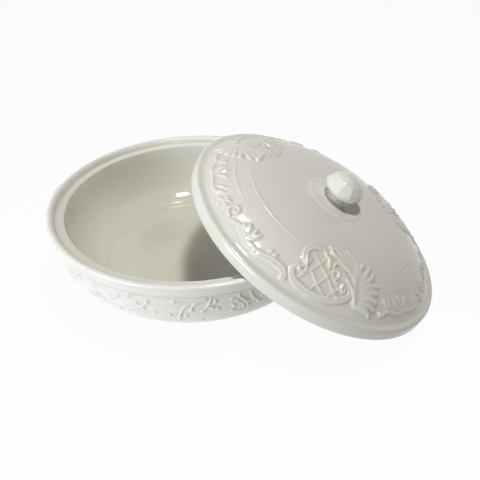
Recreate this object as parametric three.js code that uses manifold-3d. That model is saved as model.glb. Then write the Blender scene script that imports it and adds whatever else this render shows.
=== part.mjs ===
// A lidded serving bowl in glazed cream ware: a low round bowl with two lug handles,
// and its domed lid with a knob, taken off and leaning on the bowl's rim.
// Millimetres, +Z up. The origin is the middle of the foot ring, on the table.
// The lid leans towards +X, and the two handles are at -X and +X.

import * as THREE from 'three'
import Module from 'manifold-3d'
import { mergeVertices } from 'three/addons/utils/BufferGeometryUtils.js'

// Bowl, driving dimensions
const RIM_RADIUS = 125
const BOWL_HEIGHT = 74
const LIP_RADIUS = 2.5
const LIP_SLOPE_WIDTH = 2.8
const LEDGE_DEPTH = 4.1
const LEDGE_WIDTH = 5.8
const LEDGE_FALL = 1.2
const BAND_HEIGHT = 11.5
const BAND_TAPER = 2.6
const LINE_DEPTH = 0.9
const LINE_HALF_WIDTH = 0.9
const BELLY_STEP = 0.9
const BELLY_ROUNDNESS = 2.5
const BELLY_CLOSE_RADIUS = 31
const BELLY_CLOSE_HEIGHT = 3.8
const FLOOR = 6
const WELL_RADIUS = 46
const WELL_ROUNDNESS = 2.6
const FOOT_RADIUS = 72
const FOOT_WIDTH = 6
const FOOT_HEIGHT = 6.5
const FOOT_DRAFT = 1.6
const FOOT_RECESS = 2

// Lug handles
const HANDLE_LENGTH = 36
const HANDLE_REACH = 8.5
const HANDLE_THICKNESS = 7.5
const HANDLE_DROP = 8
const HANDLE_EDGE = 2

// Lid, measured up from the plane of its rim
const LID_PLAY = 0.7
const LID_SEAT_WIDTH = 1.5
const SEAT_SLOPE_WIDTH = 5.5
const SEAT_SLOPE_RISE = 3.4
const LID_EDGE_RADIUS = 1.2
const MOULDING_HEIGHT = 9.4
const MOULDING_WIDTH = 5.6
const MOULDING_TAPER = 0.8
const SHOULDER_RADIUS = 2.6
const COVE_WIDTH = 2.4
const COVE_DEPTH = 1
const DOME_RISE = 22.1
const DOME_ROUNDNESS = 3.9
const DOME_FOOT_HEIGHT = 10.4
const LID_WALL = 6
const INNER_ROUNDNESS = 4.5
const RING_RADIUS = 26
const RING_WIDTH = 4
const RING_HEIGHT = 0.8

// Knob
const KNOB_RADIUS = 17
const KNOB_CROWN_HEIGHT = 12
const KNOB_UNDER_HEIGHT = 7.5
const KNOB_NECK_RADIUS = 8.5
const KNOB_NECK_HEIGHT = 4.5
const KNOB_FOOT_RADIUS = 11
const KNOB_TOP_RADIUS = 4

// Ornament raised on the dome, the same run repeated round it
const ORNAMENT_REPEATS = 3
const ORNAMENT_TURN = THREE.MathUtils.degToRad(-91)
const ORNAMENT_INSET = 1.1
const ORNAMENT_WIDTH = 47.4
const ORNAMENT_ROOT = 0.8
const SCROLL_HEIGHT = 1.9
const SCROLL_HALF_WIDTH = 2.2
const LEAF_HEIGHT = 1.9
const LEAF_HALF_WIDTH = 2.1
const STEM_HEIGHT = 1.4
const STEM_HALF_WIDTH = 1.3
const RIBBON_HALF_WIDTH = 2.1
const BEAD_RADIUS = 1.9
const ROSETTE_RADIUS = 4.8
const TRELLIS_HEIGHT = 0.8
const TRELLIS_HALF_WIDTH = 0.8

// How the lid leans, and the gaps between pieces
const LEAN_TILT = THREE.MathUtils.degToRad(27.2)
const TABLE_GAP = 0.05
const LEAN_GAP = 0.35
const SEAM_GAP = 0.3

// Fineness of the turned surfaces
const TURN_STEPS = 72
const KNOB_STEPS = 36
const LEAN_STEPS = 240

// The glaze: a pale cream, smooth and bright
const glaze = (name, colour) =>
  new THREE.MeshStandardMaterial({ name, color: colour, roughness: 0.16, metalness: 0 })

const rimTop = BOWL_HEIGHT
const lipCentre = { r: RIM_RADIUS - LIP_RADIUS, z: rimTop - LIP_RADIUS }
const ledgeOuter = { r: RIM_RADIUS - 2 * LIP_RADIUS - LIP_SLOPE_WIDTH, z: rimTop - LEDGE_DEPTH }
const ledgeInner = { r: ledgeOuter.r - LEDGE_WIDTH, z: ledgeOuter.z - LEDGE_FALL }
const bandFoot = { r: RIM_RADIUS - BAND_TAPER, z: rimTop - BAND_HEIGHT }
const lidRadius = ledgeOuter.r - LID_PLAY
const seatInner = lidRadius - LID_SEAT_WIDTH - SEAT_SLOPE_WIDTH
const domeRadius = lidRadius - MOULDING_WIDTH - COVE_WIDTH

/** Points along an arc about (r, z), from one angle to another, in degrees. */
function arc(r, z, radius, from, to, steps) {
  return Array.from({ length: steps + 1 }, (_, i) => {
    const angle = THREE.MathUtils.degToRad(from + ((to - from) * i) / steps)
    return new THREE.Vector2(r + radius * Math.cos(angle), z + radius * Math.sin(angle))
  })
}

/** Points down a rounded wall, from radius outer at high to radius inner at low. */
function roundedWall(outer, inner, high, low, roundness, steps) {
  return Array.from({ length: steps + 1 }, (_, i) => {
    const turn = (Math.PI / 2) * (i / steps)
    const across = Math.cos(turn) ** (2 / roundness)
    const down = Math.sin(turn) ** (2 / roundness)
    return new THREE.Vector2(inner + (outer - inner) * across, high - (high - low) * down)
  })
}

/** A turned solid about +Z from a profile of (radius, height) that starts and ends on the axis. */
function turned(profile, steps) {
  const geometry = new THREE.LatheGeometry(profile, steps)
  return geometry.rotateX(Math.PI / 2)
}

/** Outer side of the bowl, from the foot ring's edge up to the band, grown outwards by a gap. */
function bowlSide(gap) {
  const top = bandFoot.z - LINE_HALF_WIDTH
  const belly = roundedWall(bandFoot.r - BELLY_STEP, BELLY_CLOSE_RADIUS, top, BELLY_CLOSE_HEIGHT,
    BELLY_ROUNDNESS, 24).filter((point) => point.y > FOOT_HEIGHT && point.x > FOOT_RADIUS)
  return belly.reverse().map((point) => new THREE.Vector2(point.x + gap, point.y))
}

/** The bowl: foot ring, belly, incised line, band, round lip, ledge for the lid and the inside. */
function bowlGeometry() {
  const footInner = FOOT_RADIUS - FOOT_WIDTH
  const floorTop = FOOT_RECESS + FLOOR
  const inside = roundedWall(ledgeInner.r, WELL_RADIUS, ledgeInner.z, floorTop, WELL_ROUNDNESS, 16)
  const profile = [
    new THREE.Vector2(0, FOOT_RECESS),
    new THREE.Vector2(footInner - FOOT_DRAFT, FOOT_RECESS),
    new THREE.Vector2(footInner, 0),
    new THREE.Vector2(FOOT_RADIUS - FOOT_DRAFT, 0),
    new THREE.Vector2(FOOT_RADIUS, FOOT_HEIGHT),
    ...bowlSide(0),
    new THREE.Vector2(bandFoot.r - LINE_DEPTH, bandFoot.z),
    new THREE.Vector2(bandFoot.r, bandFoot.z + LINE_HALF_WIDTH),
    ...arc(lipCentre.r, lipCentre.z, LIP_RADIUS, 0, 180, 8),
    new THREE.Vector2(ledgeOuter.r, ledgeOuter.z),
    ...inside,
    new THREE.Vector2(0, floorTop),
  ]
  return turned(profile, TURN_STEPS)
}

/** A closed solid for the joining library, from a geometry's positions alone. */
function toSolid(wasm, geometry) {
  const bare = geometry.clone()
  bare.deleteAttribute('normal')
  bare.deleteAttribute('uv')
  const merged = mergeVertices(bare, 1e-4)
  const index = merged.index.array
  const kept = []
  for (let i = 0; i < index.length; i += 3) {
    const [a, b, c] = [index[i], index[i + 1], index[i + 2]]
    if (a !== b && b !== c && c !== a) {
      kept.push(a, b, c)
    }
  }
  return new wasm.Manifold(new wasm.Mesh({
    numProp: 3,
    vertProperties: new Float32Array(merged.attributes.position.array),
    triVerts: new Uint32Array(kept),
  }))
}

/** A three.js geometry from a solid. */
function fromSolid(solid) {
  const mesh = solid.getMesh()
  const geometry = new THREE.BufferGeometry()
  geometry.setAttribute('position', new THREE.BufferAttribute(Float32Array.from(mesh.vertProperties), 3))
  geometry.setIndex(new THREE.BufferAttribute(Uint32Array.from(mesh.triVerts), 1))
  geometry.computeVertexNormals()
  return geometry
}

/** Space that the bowl takes, a seam's gap larger, for cutting what is luted on to it. */
function bowlSpace() {
  const reach = RIM_RADIUS + SEAM_GAP
  const profile = [
    new THREE.Vector2(0, 0),
    new THREE.Vector2(FOOT_RADIUS, 0),
    ...bowlSide(SEAM_GAP),
    new THREE.Vector2(bandFoot.r + SEAM_GAP, bandFoot.z),
    new THREE.Vector2(reach, lipCentre.z),
    new THREE.Vector2(reach, rimTop + LIP_RADIUS),
    new THREE.Vector2(0, rimTop + LIP_RADIUS),
  ]
  return turned(profile, TURN_STEPS)
}

/** A lug handle at +X: a rounded tab with a wavy front edge, its back cut to the bowl's side. */
function handleGeometry(wasm) {
  const half = HANDLE_LENGTH / 2
  const back = RIM_RADIUS - HANDLE_REACH
  const front = RIM_RADIUS + HANDLE_REACH - HANDLE_EDGE
  const side = RIM_RADIUS - half * 0.12
  const plan = new THREE.Shape()
  plan.moveTo(back, -half)
  plan.lineTo(side, -half)
  plan.bezierCurveTo(side + HANDLE_REACH * 0.7, -half, front, -half * 0.72, front, -half * 0.36)
  plan.quadraticCurveTo(front - HANDLE_REACH * 0.12, 0, front, half * 0.36)
  plan.bezierCurveTo(front, half * 0.72, side + HANDLE_REACH * 0.7, half, side, half)
  plan.lineTo(back, half)
  plan.closePath()
  const tab = new THREE.ExtrudeGeometry(plan, {
    depth: HANDLE_THICKNESS - 2 * HANDLE_EDGE,
    bevelEnabled: true,
    bevelThickness: HANDLE_EDGE,
    bevelSize: HANDLE_EDGE,
    bevelSegments: 3,
    curveSegments: 8,
  })
  tab.translate(0, 0, rimTop - HANDLE_DROP - HANDLE_THICKNESS + HANDLE_EDGE)
  return fromSolid(toSolid(wasm, tab).subtract(toSolid(wasm, bowlSpace())))
}

/** Height of the lid's outer dome above its rim plane, at a radius. */
function domeOutside(radius) {
  const share = Math.min(radius / domeRadius, 1)
  return DOME_FOOT_HEIGHT + DOME_RISE * (1 - share ** DOME_ROUNDNESS)
}

/** Height of the lid's inner dome above its rim plane, at a radius. */
function domeInside(radius) {
  const share = Math.min(radius / seatInner, 1)
  const rise = DOME_FOOT_HEIGHT + DOME_RISE - LID_WALL - SEAT_SLOPE_RISE
  return SEAT_SLOPE_RISE + rise * (1 - share ** INNER_ROUNDNESS)
}

/** Radii of the outer dome's rows, from its foot in to the ring about the knob. */
function domeRows() {
  const rows = 8
  const innermost = RING_RADIUS + RING_WIDTH / 2 + RING_WIDTH
  const lastTurn = Math.acos(innermost / domeRadius)
  return Array.from({ length: rows + 1 }, (_, i) => domeRadius * Math.cos((lastTurn * i) / rows))
}

/** Outline of the lid: hollow dome, sloped seat, edge moulding, cove, and a ring about the knob. */
function lidProfile() {
  const innerSteps = 11
  const inner = Array.from({ length: innerSteps + 1 }, (_, i) => {
    const radius = seatInner * Math.sin((Math.PI / 2) * (i / innerSteps))
    return new THREE.Vector2(radius, domeInside(radius))
  })
  const outer = domeRows().map((radius) => new THREE.Vector2(radius, domeOutside(radius)))
  const ring = [-1, -0.5, 0, 0.5, 1].map((across) => {
    const radius = RING_RADIUS - (across * RING_WIDTH) / 2
    return new THREE.Vector2(radius, domeOutside(radius) + RING_HEIGHT * (1 - across ** 2))
  })
  const shoulder = { r: lidRadius - MOULDING_TAPER - SHOULDER_RADIUS, z: MOULDING_HEIGHT - SHOULDER_RADIUS }
  const coveOuter = lidRadius - MOULDING_WIDTH
  return [
    ...inner,
    new THREE.Vector2(lidRadius - LID_SEAT_WIDTH, 0),
    ...arc(lidRadius - LID_EDGE_RADIUS, LID_EDGE_RADIUS, LID_EDGE_RADIUS, -90, 0, 3),
    ...arc(shoulder.r, shoulder.z, SHOULDER_RADIUS, 0, 90, 4),
    new THREE.Vector2(coveOuter, MOULDING_HEIGHT),
    new THREE.Vector2(coveOuter - COVE_WIDTH * 0.35, MOULDING_HEIGHT - COVE_DEPTH),
    new THREE.Vector2(coveOuter - COVE_WIDTH * 0.65, MOULDING_HEIGHT - COVE_DEPTH),
    ...outer,
    ...ring,
    new THREE.Vector2(KNOB_FOOT_RADIUS, domeOutside(KNOB_FOOT_RADIUS)),
    new THREE.Vector2(0, domeOutside(0)),
  ]
}

// One run of the ornament. A point is degrees round from the middle of the scrolled cartouche, and
// a share of the ornament's width, from the dome's foot inwards.
const scrolls = [
  [[-8.2, 0.4], [-10.3, 0.48], [-11, 0.57], [-10.2, 0.66], [-7.5, 0.73], [-4, 0.77], [-0.4, 0.72]],
  [[-8.9, 0.33], [-11.2, 0.3], [-12.2, 0.24], [-11.6, 0.16], [-9.3, 0.1], [-5.2, 0.07], [0, 0.06],
    [5, 0.08], [9.3, 0.12], [13.1, 0.17], [15.2, 0.24], [15.1, 0.31], [13, 0.37]],
]
const trellis = [
  [[-8, 0.67], [8.2, 0.19]],
  [[-5.4, 0.37], [3.7, 0.12]],
  [[0.9, 0.68], [-8.4, 0.17]],
  [[4.2, 0.5], [-2.2, 0.11]],
  [[10.9, 0.31], [5.2, 0.12]],
]
const leaves = [
  [[1.7, 0.72], [3.2, 0.53]],
  [[5.6, 0.6], [15.8, 0.58]],
  [[17.4, 0.54], [8.6, 0.72], [1.2, 0.88]],
  [[17.6, 0.62], [4.8, 0.91]],
  [[17.8, 0.7], [8.6, 0.94]],
  [[18, 0.76], [14.2, 0.94]],
  [[17.8, 0.1], [17.9, 0.43], [18.7, 0.8]],
  [[18.8, 0.42], [21.4, 0.64], [25.6, 0.77]],
  [[19.4, 0.4], [29.3, 0.73]],
  [[19.7, 0.36], [30.3, 0.62]],
  [[19.6, 0.32], [31.6, 0.47]],
  [[19.5, 0.26], [30.6, 0.35]],
  [[19.2, 0.22], [29.3, 0.24]],
  [[18.8, 0.17], [27.5, 0.14]],
  [[38, 0.12], [34.6, 0.29]],
  [[38.4, 0.12], [37.8, 0.29]],
  [[44.5, 0.11], [41.6, 0.26]],
  [[46, 0.11], [45.2, 0.29]],
  [[47.5, 0.1], [49.8, 0.26]],
  [[55.5, 0.08], [57.6, 0.23]],
  [[84.8, 0.1], [80.8, 0.19]],
  [[85.4, 0.1], [82.2, 0.25]],
  [[87, 0.1], [87.4, 0.26]],
  [[97, 0.12], [96.6, 0.22]],
  [[98, 0.12], [99.4, 0.23]],
]
const stems = [
  [[31.5, 0.08], [36, 0.1], [44, 0.06], [48, 0.08], [56, 0.06], [62.5, 0.1]],
  [[73.8, 0.1], [70.8, 0.12], [69.4, 0.19], [70.6, 0.26], [73.2, 0.24]],
]
const ribbons = [
  [[67.5, 0.1], [75, 0.08], [78.6, 0.13], [84, 0.09], [90, 0.07], [95, 0.09], [101.5, 0.14], [105, 0.11],
    [106.8, 0.06]],
]
const beads = [[-7.4, 0.45], [-8.6, 0.32], [12.4, 0.34], [7.4, 0.46], [31.5, 0.08], [106.4, 0.06]]
const rosettes = [[65.2, 0.14]]

/** Place on the plan of a point of the ornament. */
function ornamentPoint([degrees, share]) {
  const radius = domeRadius - ORNAMENT_INSET - share * ORNAMENT_WIDTH
  const turn = ORNAMENT_TURN + THREE.MathUtils.degToRad(degrees)
  return new THREE.Vector2(radius * Math.cos(turn), radius * Math.sin(turn))
}

/** Plan outline of a stroke with a pointed end, starting square at a share of its half width. */
function strokeOutline(path, halfWidth, startShare) {
  const line = path.map(ornamentPoint)
  const last = line.length - 1
  const ahead = line.map((_, i) =>
    line[Math.min(i + 1, last)].clone().sub(line[Math.max(i - 1, 0)]).normalize())
  const half = line.map((_, i) => halfWidth * (startShare + (1 - startShare) * (i / last)))
  const side = (i, way) =>
    new THREE.Vector2(line[i].x - way * ahead[i].y * half[i], line[i].y + way * ahead[i].x * half[i])
  const tip = line[last].clone().addScaledVector(ahead[last], half[last])
  const left = line.map((_, i) => side(i, 1))
  const right = line.map((_, i) => side(i, -1)).reverse()
  return [...left, tip, ...right]
}

/** Plan outline of a bead or, with every other corner drawn in, of a rosette. */
function roundOutline(point, radius, corners, drawnIn) {
  const middle = ornamentPoint(point)
  return Array.from({ length: corners }, (_, i) => {
    const turn = (2 * Math.PI * i) / corners
    const reach = radius * (i % 2 ? drawnIn : 1)
    return new THREE.Vector2(middle.x + reach * Math.cos(turn), middle.y + reach * Math.sin(turn))
  })
}

/** A skin over the dome where ornament lies, from a little below its surface to a height above it. */
function domeSkin(height) {
  const innermost = domeRadius - ORNAMENT_INSET - ORNAMENT_WIDTH - 2 * LEAF_HALF_WIDTH
  const rows = domeRows().filter((radius) => radius > innermost)
  const radii = [...rows, innermost].reverse()
  const layer = (offset) => radii.map((radius) => {
    const step = 0.01
    const slope = (domeOutside(radius - step) - domeOutside(radius)) / step
    const length = Math.hypot(slope, 1)
    return new THREE.Vector2(radius + (offset * slope) / length, domeOutside(radius) + offset / length)
  })
  const under = layer(-ORNAMENT_ROOT)
  return turned([...under, ...layer(height).reverse(), under[0].clone()], TURN_STEPS)
}

/** Raised strokes of one height on the dome, for every repeat, joined into one solid. */
function raised(wasm, outlines, height) {
  const tall = DOME_FOOT_HEIGHT + DOME_RISE + height
  const skin = toSolid(wasm, domeSkin(height))
  const prisms = outlines.map((outline) =>
    toSolid(wasm, new THREE.ExtrudeGeometry(new THREE.Shape(outline), { depth: tall, bevelEnabled: false })))
  const run = prisms.reduce((joined, prism) => joined.add(prism)).intersect(skin)
  const copies = Array.from({ length: ORNAMENT_REPEATS }, (_, i) => run.rotate([0, 0, (360 * i) / ORNAMENT_REPEATS]))
  return copies.reduce((joined, copy) => joined.add(copy))
}

/** The lid: the turned dome with the ornament's main forms raised on it. */
function lidGeometry(wasm) {
  const tall = [
    ...scrolls.map((path) => strokeOutline(path, SCROLL_HALF_WIDTH, 0.8)),
    ...beads.map((point) => roundOutline(point, BEAD_RADIUS, 6, 1)),
    ...rosettes.map((point) => roundOutline(point, ROSETTE_RADIUS, 10, 0.6)),
  ]
  const leafy = leaves.map((path) => strokeOutline(path, LEAF_HALF_WIDTH, 0.5))
  const low = [
    ...stems.map((path) => strokeOutline(path, STEM_HALF_WIDTH, 0.8)),
    ...ribbons.map((path) => strokeOutline(path, RIBBON_HALF_WIDTH, 0.6)),
  ]
  const bars = trellis.map((path) => strokeOutline(path, TRELLIS_HALF_WIDTH, 1))
  return fromSolid(toSolid(wasm, turned(lidProfile(), TURN_STEPS))
    .add(raised(wasm, tall, SCROLL_HEIGHT))
    .add(raised(wasm, leafy, LEAF_HEIGHT))
    .add(raised(wasm, low, STEM_HEIGHT))
    .add(raised(wasm, bars, TRELLIS_HEIGHT)))
}

/** The knob: a flared foot on the dome, a short neck and a broad head with a small flat top. */
function knobGeometry() {
  const base = domeOutside(0) + SEAM_GAP
  const waist = base + KNOB_NECK_HEIGHT
  const widest = waist + KNOB_UNDER_HEIGHT
  const neckTurn = Math.acos(KNOB_NECK_RADIUS / KNOB_RADIUS)
  const topTurn = Math.acos(KNOB_TOP_RADIUS / KNOB_RADIUS)
  const under = [0, 1, 2, 3, 4].map((i) => {
    const turn = neckTurn * (1 - i / 5)
    const drop = (KNOB_UNDER_HEIGHT * Math.sin(turn)) / Math.sin(neckTurn)
    return new THREE.Vector2(KNOB_RADIUS * Math.cos(turn), widest - drop)
  })
  const crown = [0, 1, 2, 3, 4, 5, 6].map((i) => {
    const turn = (topTurn * i) / 6
    return new THREE.Vector2(KNOB_RADIUS * Math.cos(turn), widest + KNOB_CROWN_HEIGHT * Math.sin(turn))
  })
  const profile = [
    new THREE.Vector2(0, base),
    new THREE.Vector2(KNOB_FOOT_RADIUS, base),
    new THREE.Vector2((KNOB_FOOT_RADIUS + KNOB_NECK_RADIUS) / 2, base + KNOB_NECK_HEIGHT * 0.25),
    new THREE.Vector2(KNOB_NECK_RADIUS, base + KNOB_NECK_HEIGHT * 0.6),
    ...under,
    ...crown,
    new THREE.Vector2(0, crown[6].y),
  ]
  return turned(profile, KNOB_STEPS)
}

/** Middle height of the leaning lid's rim plane, with its low edge just off the table. */
function leanHeight() {
  return TABLE_GAP + (lidRadius - LID_EDGE_RADIUS) * Math.sin(LEAN_TILT)
    - LID_EDGE_RADIUS * Math.cos(LEAN_TILT) + LID_EDGE_RADIUS
}

/** Distance from a point to a closed outline, negative inside it. */
function distanceTo(outline, r, z) {
  let nearest = Infinity
  let inside = false
  outline.forEach((a, i) => {
    const b = outline[(i + 1) % outline.length]
    const dr = b.x - a.x
    const dz = b.y - a.y
    const along = ((r - a.x) * dr + (z - a.y) * dz) / (dr ** 2 + dz ** 2)
    const share = Math.min(Math.max(along, 0), 1)
    nearest = Math.min(nearest, Math.hypot(a.x + share * dr - r, a.y + share * dz - z))
    if (a.y > z !== b.y > z && r < a.x + ((z - a.y) / dz) * dr) {
      inside = !inside
    }
  })
  return inside ? -nearest : nearest
}

/** Least gap between the bowl's whole lip and the lid, when the lid's rim is centred at x, z. */
function lipGap(outline, x, z) {
  const gaps = Array.from({ length: LEAN_STEPS + 1 }, (_, i) => {
    const turn = (Math.PI * i) / LEAN_STEPS
    const out = lipCentre.r * Math.cos(turn) - x
    const side = lipCentre.r * Math.sin(turn)
    const across = out * Math.cos(LEAN_TILT) - (lipCentre.z - z) * Math.sin(LEAN_TILT)
    const up = out * Math.sin(LEAN_TILT) + (lipCentre.z - z) * Math.cos(LEAN_TILT)
    return distanceTo(outline, Math.hypot(across, side), up)
  })
  return Math.min(...gaps) - LIP_RADIUS
}

/** Middle of the leaning lid's rim: the lid moved in from the side until it all but meets the lip. */
function leanPlace() {
  const outline = lidProfile()
  const z = leanHeight()
  let step = 1
  let x = RIM_RADIUS + lidRadius
  while (step > 0.001) {
    if (lipGap(outline, x - step, z) < LEAN_GAP) {
      step /= 2
    } else {
      x -= step
    }
  }
  return new THREE.Vector3(x, 0, z)
}

const wasm = await Module()
wasm.setup()

const group = new THREE.Group()

const bowl = new THREE.Mesh(bowlGeometry(), glaze('bowl_glaze', 0xe6e6df))
bowl.name = 'bowl'
group.add(bowl)

for (const [name, turn] of [['handle_right', 0], ['handle_left', Math.PI]]) {
  const handle = new THREE.Mesh(handleGeometry(wasm), glaze(`${name}_glaze`, 0xe8e8e2))
  handle.name = name
  handle.rotation.z = turn
  group.add(handle)
}

const lidGroup = new THREE.Group()
lidGroup.position.copy(leanPlace())
lidGroup.rotation.y = LEAN_TILT

const lid = new THREE.Mesh(lidGeometry(wasm), glaze('lid_glaze', 0xd8d6ca))
lid.name = 'lid'
lidGroup.add(lid)

const knob = new THREE.Mesh(knobGeometry(), glaze('knob_glaze', 0xdedcd2))
knob.name = 'knob'
lidGroup.add(knob)

group.add(lidGroup)

export default group
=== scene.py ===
"""Lidded serving bowl in glazed cream ware, its domed lid taken off and leaning on the rim.

The bowl and its two lug handles are one fired piece, and so are the lid and its knob. Each surface
is turned from a profile with numpy, and the moulded ornament is raised on it along its normals.
Sizes are in millimetres and become metres only where a mesh is made.
"""

import logging
import math
from dataclasses import dataclass, field
from enum import Enum

import bpy
import numpy as np
from mathutils import Matrix, Vector


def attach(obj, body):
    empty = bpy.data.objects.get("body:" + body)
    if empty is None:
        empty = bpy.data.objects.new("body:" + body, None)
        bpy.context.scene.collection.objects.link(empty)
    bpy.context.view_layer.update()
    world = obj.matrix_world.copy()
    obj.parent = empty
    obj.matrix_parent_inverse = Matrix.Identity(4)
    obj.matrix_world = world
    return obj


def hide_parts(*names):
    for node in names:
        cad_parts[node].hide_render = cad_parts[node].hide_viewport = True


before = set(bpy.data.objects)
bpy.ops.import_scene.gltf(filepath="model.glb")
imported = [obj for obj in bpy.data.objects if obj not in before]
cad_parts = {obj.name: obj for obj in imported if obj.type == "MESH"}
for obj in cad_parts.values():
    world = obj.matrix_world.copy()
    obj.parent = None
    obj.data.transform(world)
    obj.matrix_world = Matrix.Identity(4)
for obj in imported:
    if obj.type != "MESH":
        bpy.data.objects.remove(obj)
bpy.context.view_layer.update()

logging.basicConfig(level=logging.INFO, format="%(message)s")
log = logging.getLogger("lidded_bowl")

MM = 0.001
WHITE = (1.0, 1.0, 1.0, 1.0)
ARC_POINTS = 25

Pair = tuple[float, float]
Point = Pair
Path = tuple[Point, ...]
Shares = tuple[float, ...]


def linear(colour: str) -> tuple[float, float, float, float]:
    """Turns an sRGB hex colour into the linear values that a shader reads.

    Args:
        colour: six hex digits, such as "e8e5da".

    Returns:
        Red, green and blue in linear light, and an alpha of one.
    """
    shares = [int(colour[i : i + 2], 16) / 255 for i in (0, 2, 4)]
    light = [s / 12.92 if s <= 0.04045 else ((s + 0.055) / 1.055) ** 2.4 for s in shares]
    return (*light, 1.0)


def arc(centre: Point, radius: float, start: float, end: float) -> np.ndarray:
    """Points on an arc: centre plus radius times (cos, sin) of an even run of angles.

    Args:
        centre: radius and height of the arc's middle.
        radius: the arc's own radius.
        start: first angle in degrees.
        end: last angle in degrees.

    Returns:
        An array of (radius, height) rows.
    """
    turn = np.radians(np.linspace(start, end, ARC_POINTS))
    return np.column_stack((centre[0] + radius * np.cos(turn), centre[1] + radius * np.sin(turn)))


def rounded_wall(
    outer: float, inner: float, high: float, low: float, roundness: float, steps: int = 160
) -> np.ndarray:
    """Points down a quarter superellipse from (outer, high) to (inner, low).

    The radius is inner + (outer - inner) * cos(t) ** (2 / roundness) and the height is
    high - (high - low) * sin(t) ** (2 / roundness), for t from nought to a quarter turn.

    Args:
        outer: radius at the top.
        inner: radius at the bottom.
        high: height at the top.
        low: height at the bottom.
        roundness: 2 for an ellipse, and more for a squarer corner.
        steps: number of points.

    Returns:
        An array of (radius, height) rows.
    """
    turn = np.linspace(0, math.pi / 2, steps)
    across = np.cos(turn) ** (2 / roundness)
    down = np.sin(turn) ** (2 / roundness)
    return np.column_stack((inner + (outer - inner) * across, high - (high - low) * down))


def squared_off(values: np.ndarray, roundness: float) -> np.ndarray:
    """Sines or cosines to the power 2 / roundness, with their sign kept, for a superellipse."""
    return np.sign(values) * np.abs(values) ** (2 / roundness)


def bell(gap: np.ndarray, share: float, width: float) -> np.ndarray:
    """A bell curve over a distance: share * exp(-(gap / width) ** 2)."""
    return share * np.exp(-((gap / width) ** 2))


def lengths_along(points: np.ndarray) -> np.ndarray:
    """Distance along a line of points, from nought at the first one."""
    steps = np.linalg.norm(np.diff(points, axis=0), axis=1)
    return np.concatenate(([0.0], np.cumsum(steps)))


def at_lengths(points: np.ndarray, wanted: np.ndarray) -> np.ndarray:
    """Points on a line at given distances along it, with straight lines between its points."""
    along = lengths_along(points)
    return np.column_stack([np.interp(wanted, along, points[:, k]) for k in range(points.shape[1])])


def blurred(values: np.ndarray, passes: int, axis: int, closed: bool) -> np.ndarray:
    """Smooths an array by passes of the weights 1, 2, 1 over 4 along one axis.

    Args:
        values: the array.
        passes: how many times the weights are applied.
        axis: the axis to smooth along.
        closed: whether the last entry is next to the first; open ends keep their values.

    Returns:
        The smoothed array.
    """
    out = np.moveaxis(values.astype(float), axis, 0)
    for _ in range(passes):
        mixed = (np.roll(out, 1, axis=0) + 2 * out + np.roll(out, -1, axis=0)) / 4
        if not closed:
            mixed[0], mixed[-1] = out[0], out[-1]
        out = mixed
    return np.moveaxis(out, 0, axis)


@dataclass(frozen=True)
class Turning:
    """How a profile is turned, with lengths in millimetres.

    Attributes:
        softening: how far glaze rounds the outline.
        tolerance: most gap between the outline and the straight step from ring to ring.
        least_step: least distance between plain rings.
        most_step: most distance between plain rings.
        relief_step: distance between rings that carry ornament.
        columns: columns round a plain ring.
        relief_columns: columns round a ring that carries ornament.
        sampling: spacing of the fine outline that the rings are placed on.
        bend_passes: smoothing passes over the outline's bending.
    """

    softening: float = 0.45
    tolerance: float = 0.012
    least_step: float = 0.45
    most_step: float = 3.0
    relief_step: float = 0.75
    columns: int = 360
    relief_columns: int = 1080
    sampling: float = 0.15
    bend_passes: int = 6


@dataclass
class Skin:
    """A closed turned surface: its rings from axis to axis, and its ornament's heights.

    Attributes:
        rings: (radius, height) of each ring, in order, with the solid on the left.
        normals: outward (radius, height) direction of each ring.
        carved: whether each ring carries ornament, and so has more columns.
        heights: height of the ornament on the carved rings, one row a ring.
        start: angle of the first column in degrees.
        turning: the spacing that it was made with.
    """

    rings: np.ndarray
    normals: np.ndarray
    carved: np.ndarray
    heights: np.ndarray
    start: float
    turning: Turning

    def columns_of(self, carved: bool) -> int:
        """Number of columns round a ring."""
        return self.turning.relief_columns if carved else self.turning.columns

    def angles_of(self, carved: bool) -> np.ndarray:
        """Angle of each column round a ring, in radians."""
        count = self.columns_of(carved)
        return math.radians(self.start) + np.arange(count) * (2 * math.pi / count)

    def third(self) -> np.ndarray:
        """Angles of a third of the carved columns from the first one, in radians, as one row."""
        count = self.turning.relief_columns
        return np.arange(count // 3)[None, :] * (2 * math.pi / count)

    def on_all_rings(self, carved_values: np.ndarray) -> np.ndarray:
        """Rows for all rings from the rows of the carved ones, with nought on the plain rings."""
        rows = np.zeros((len(self.rings), self.turning.relief_columns))
        rows[self.carved] = carved_values
        return rows


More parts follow.
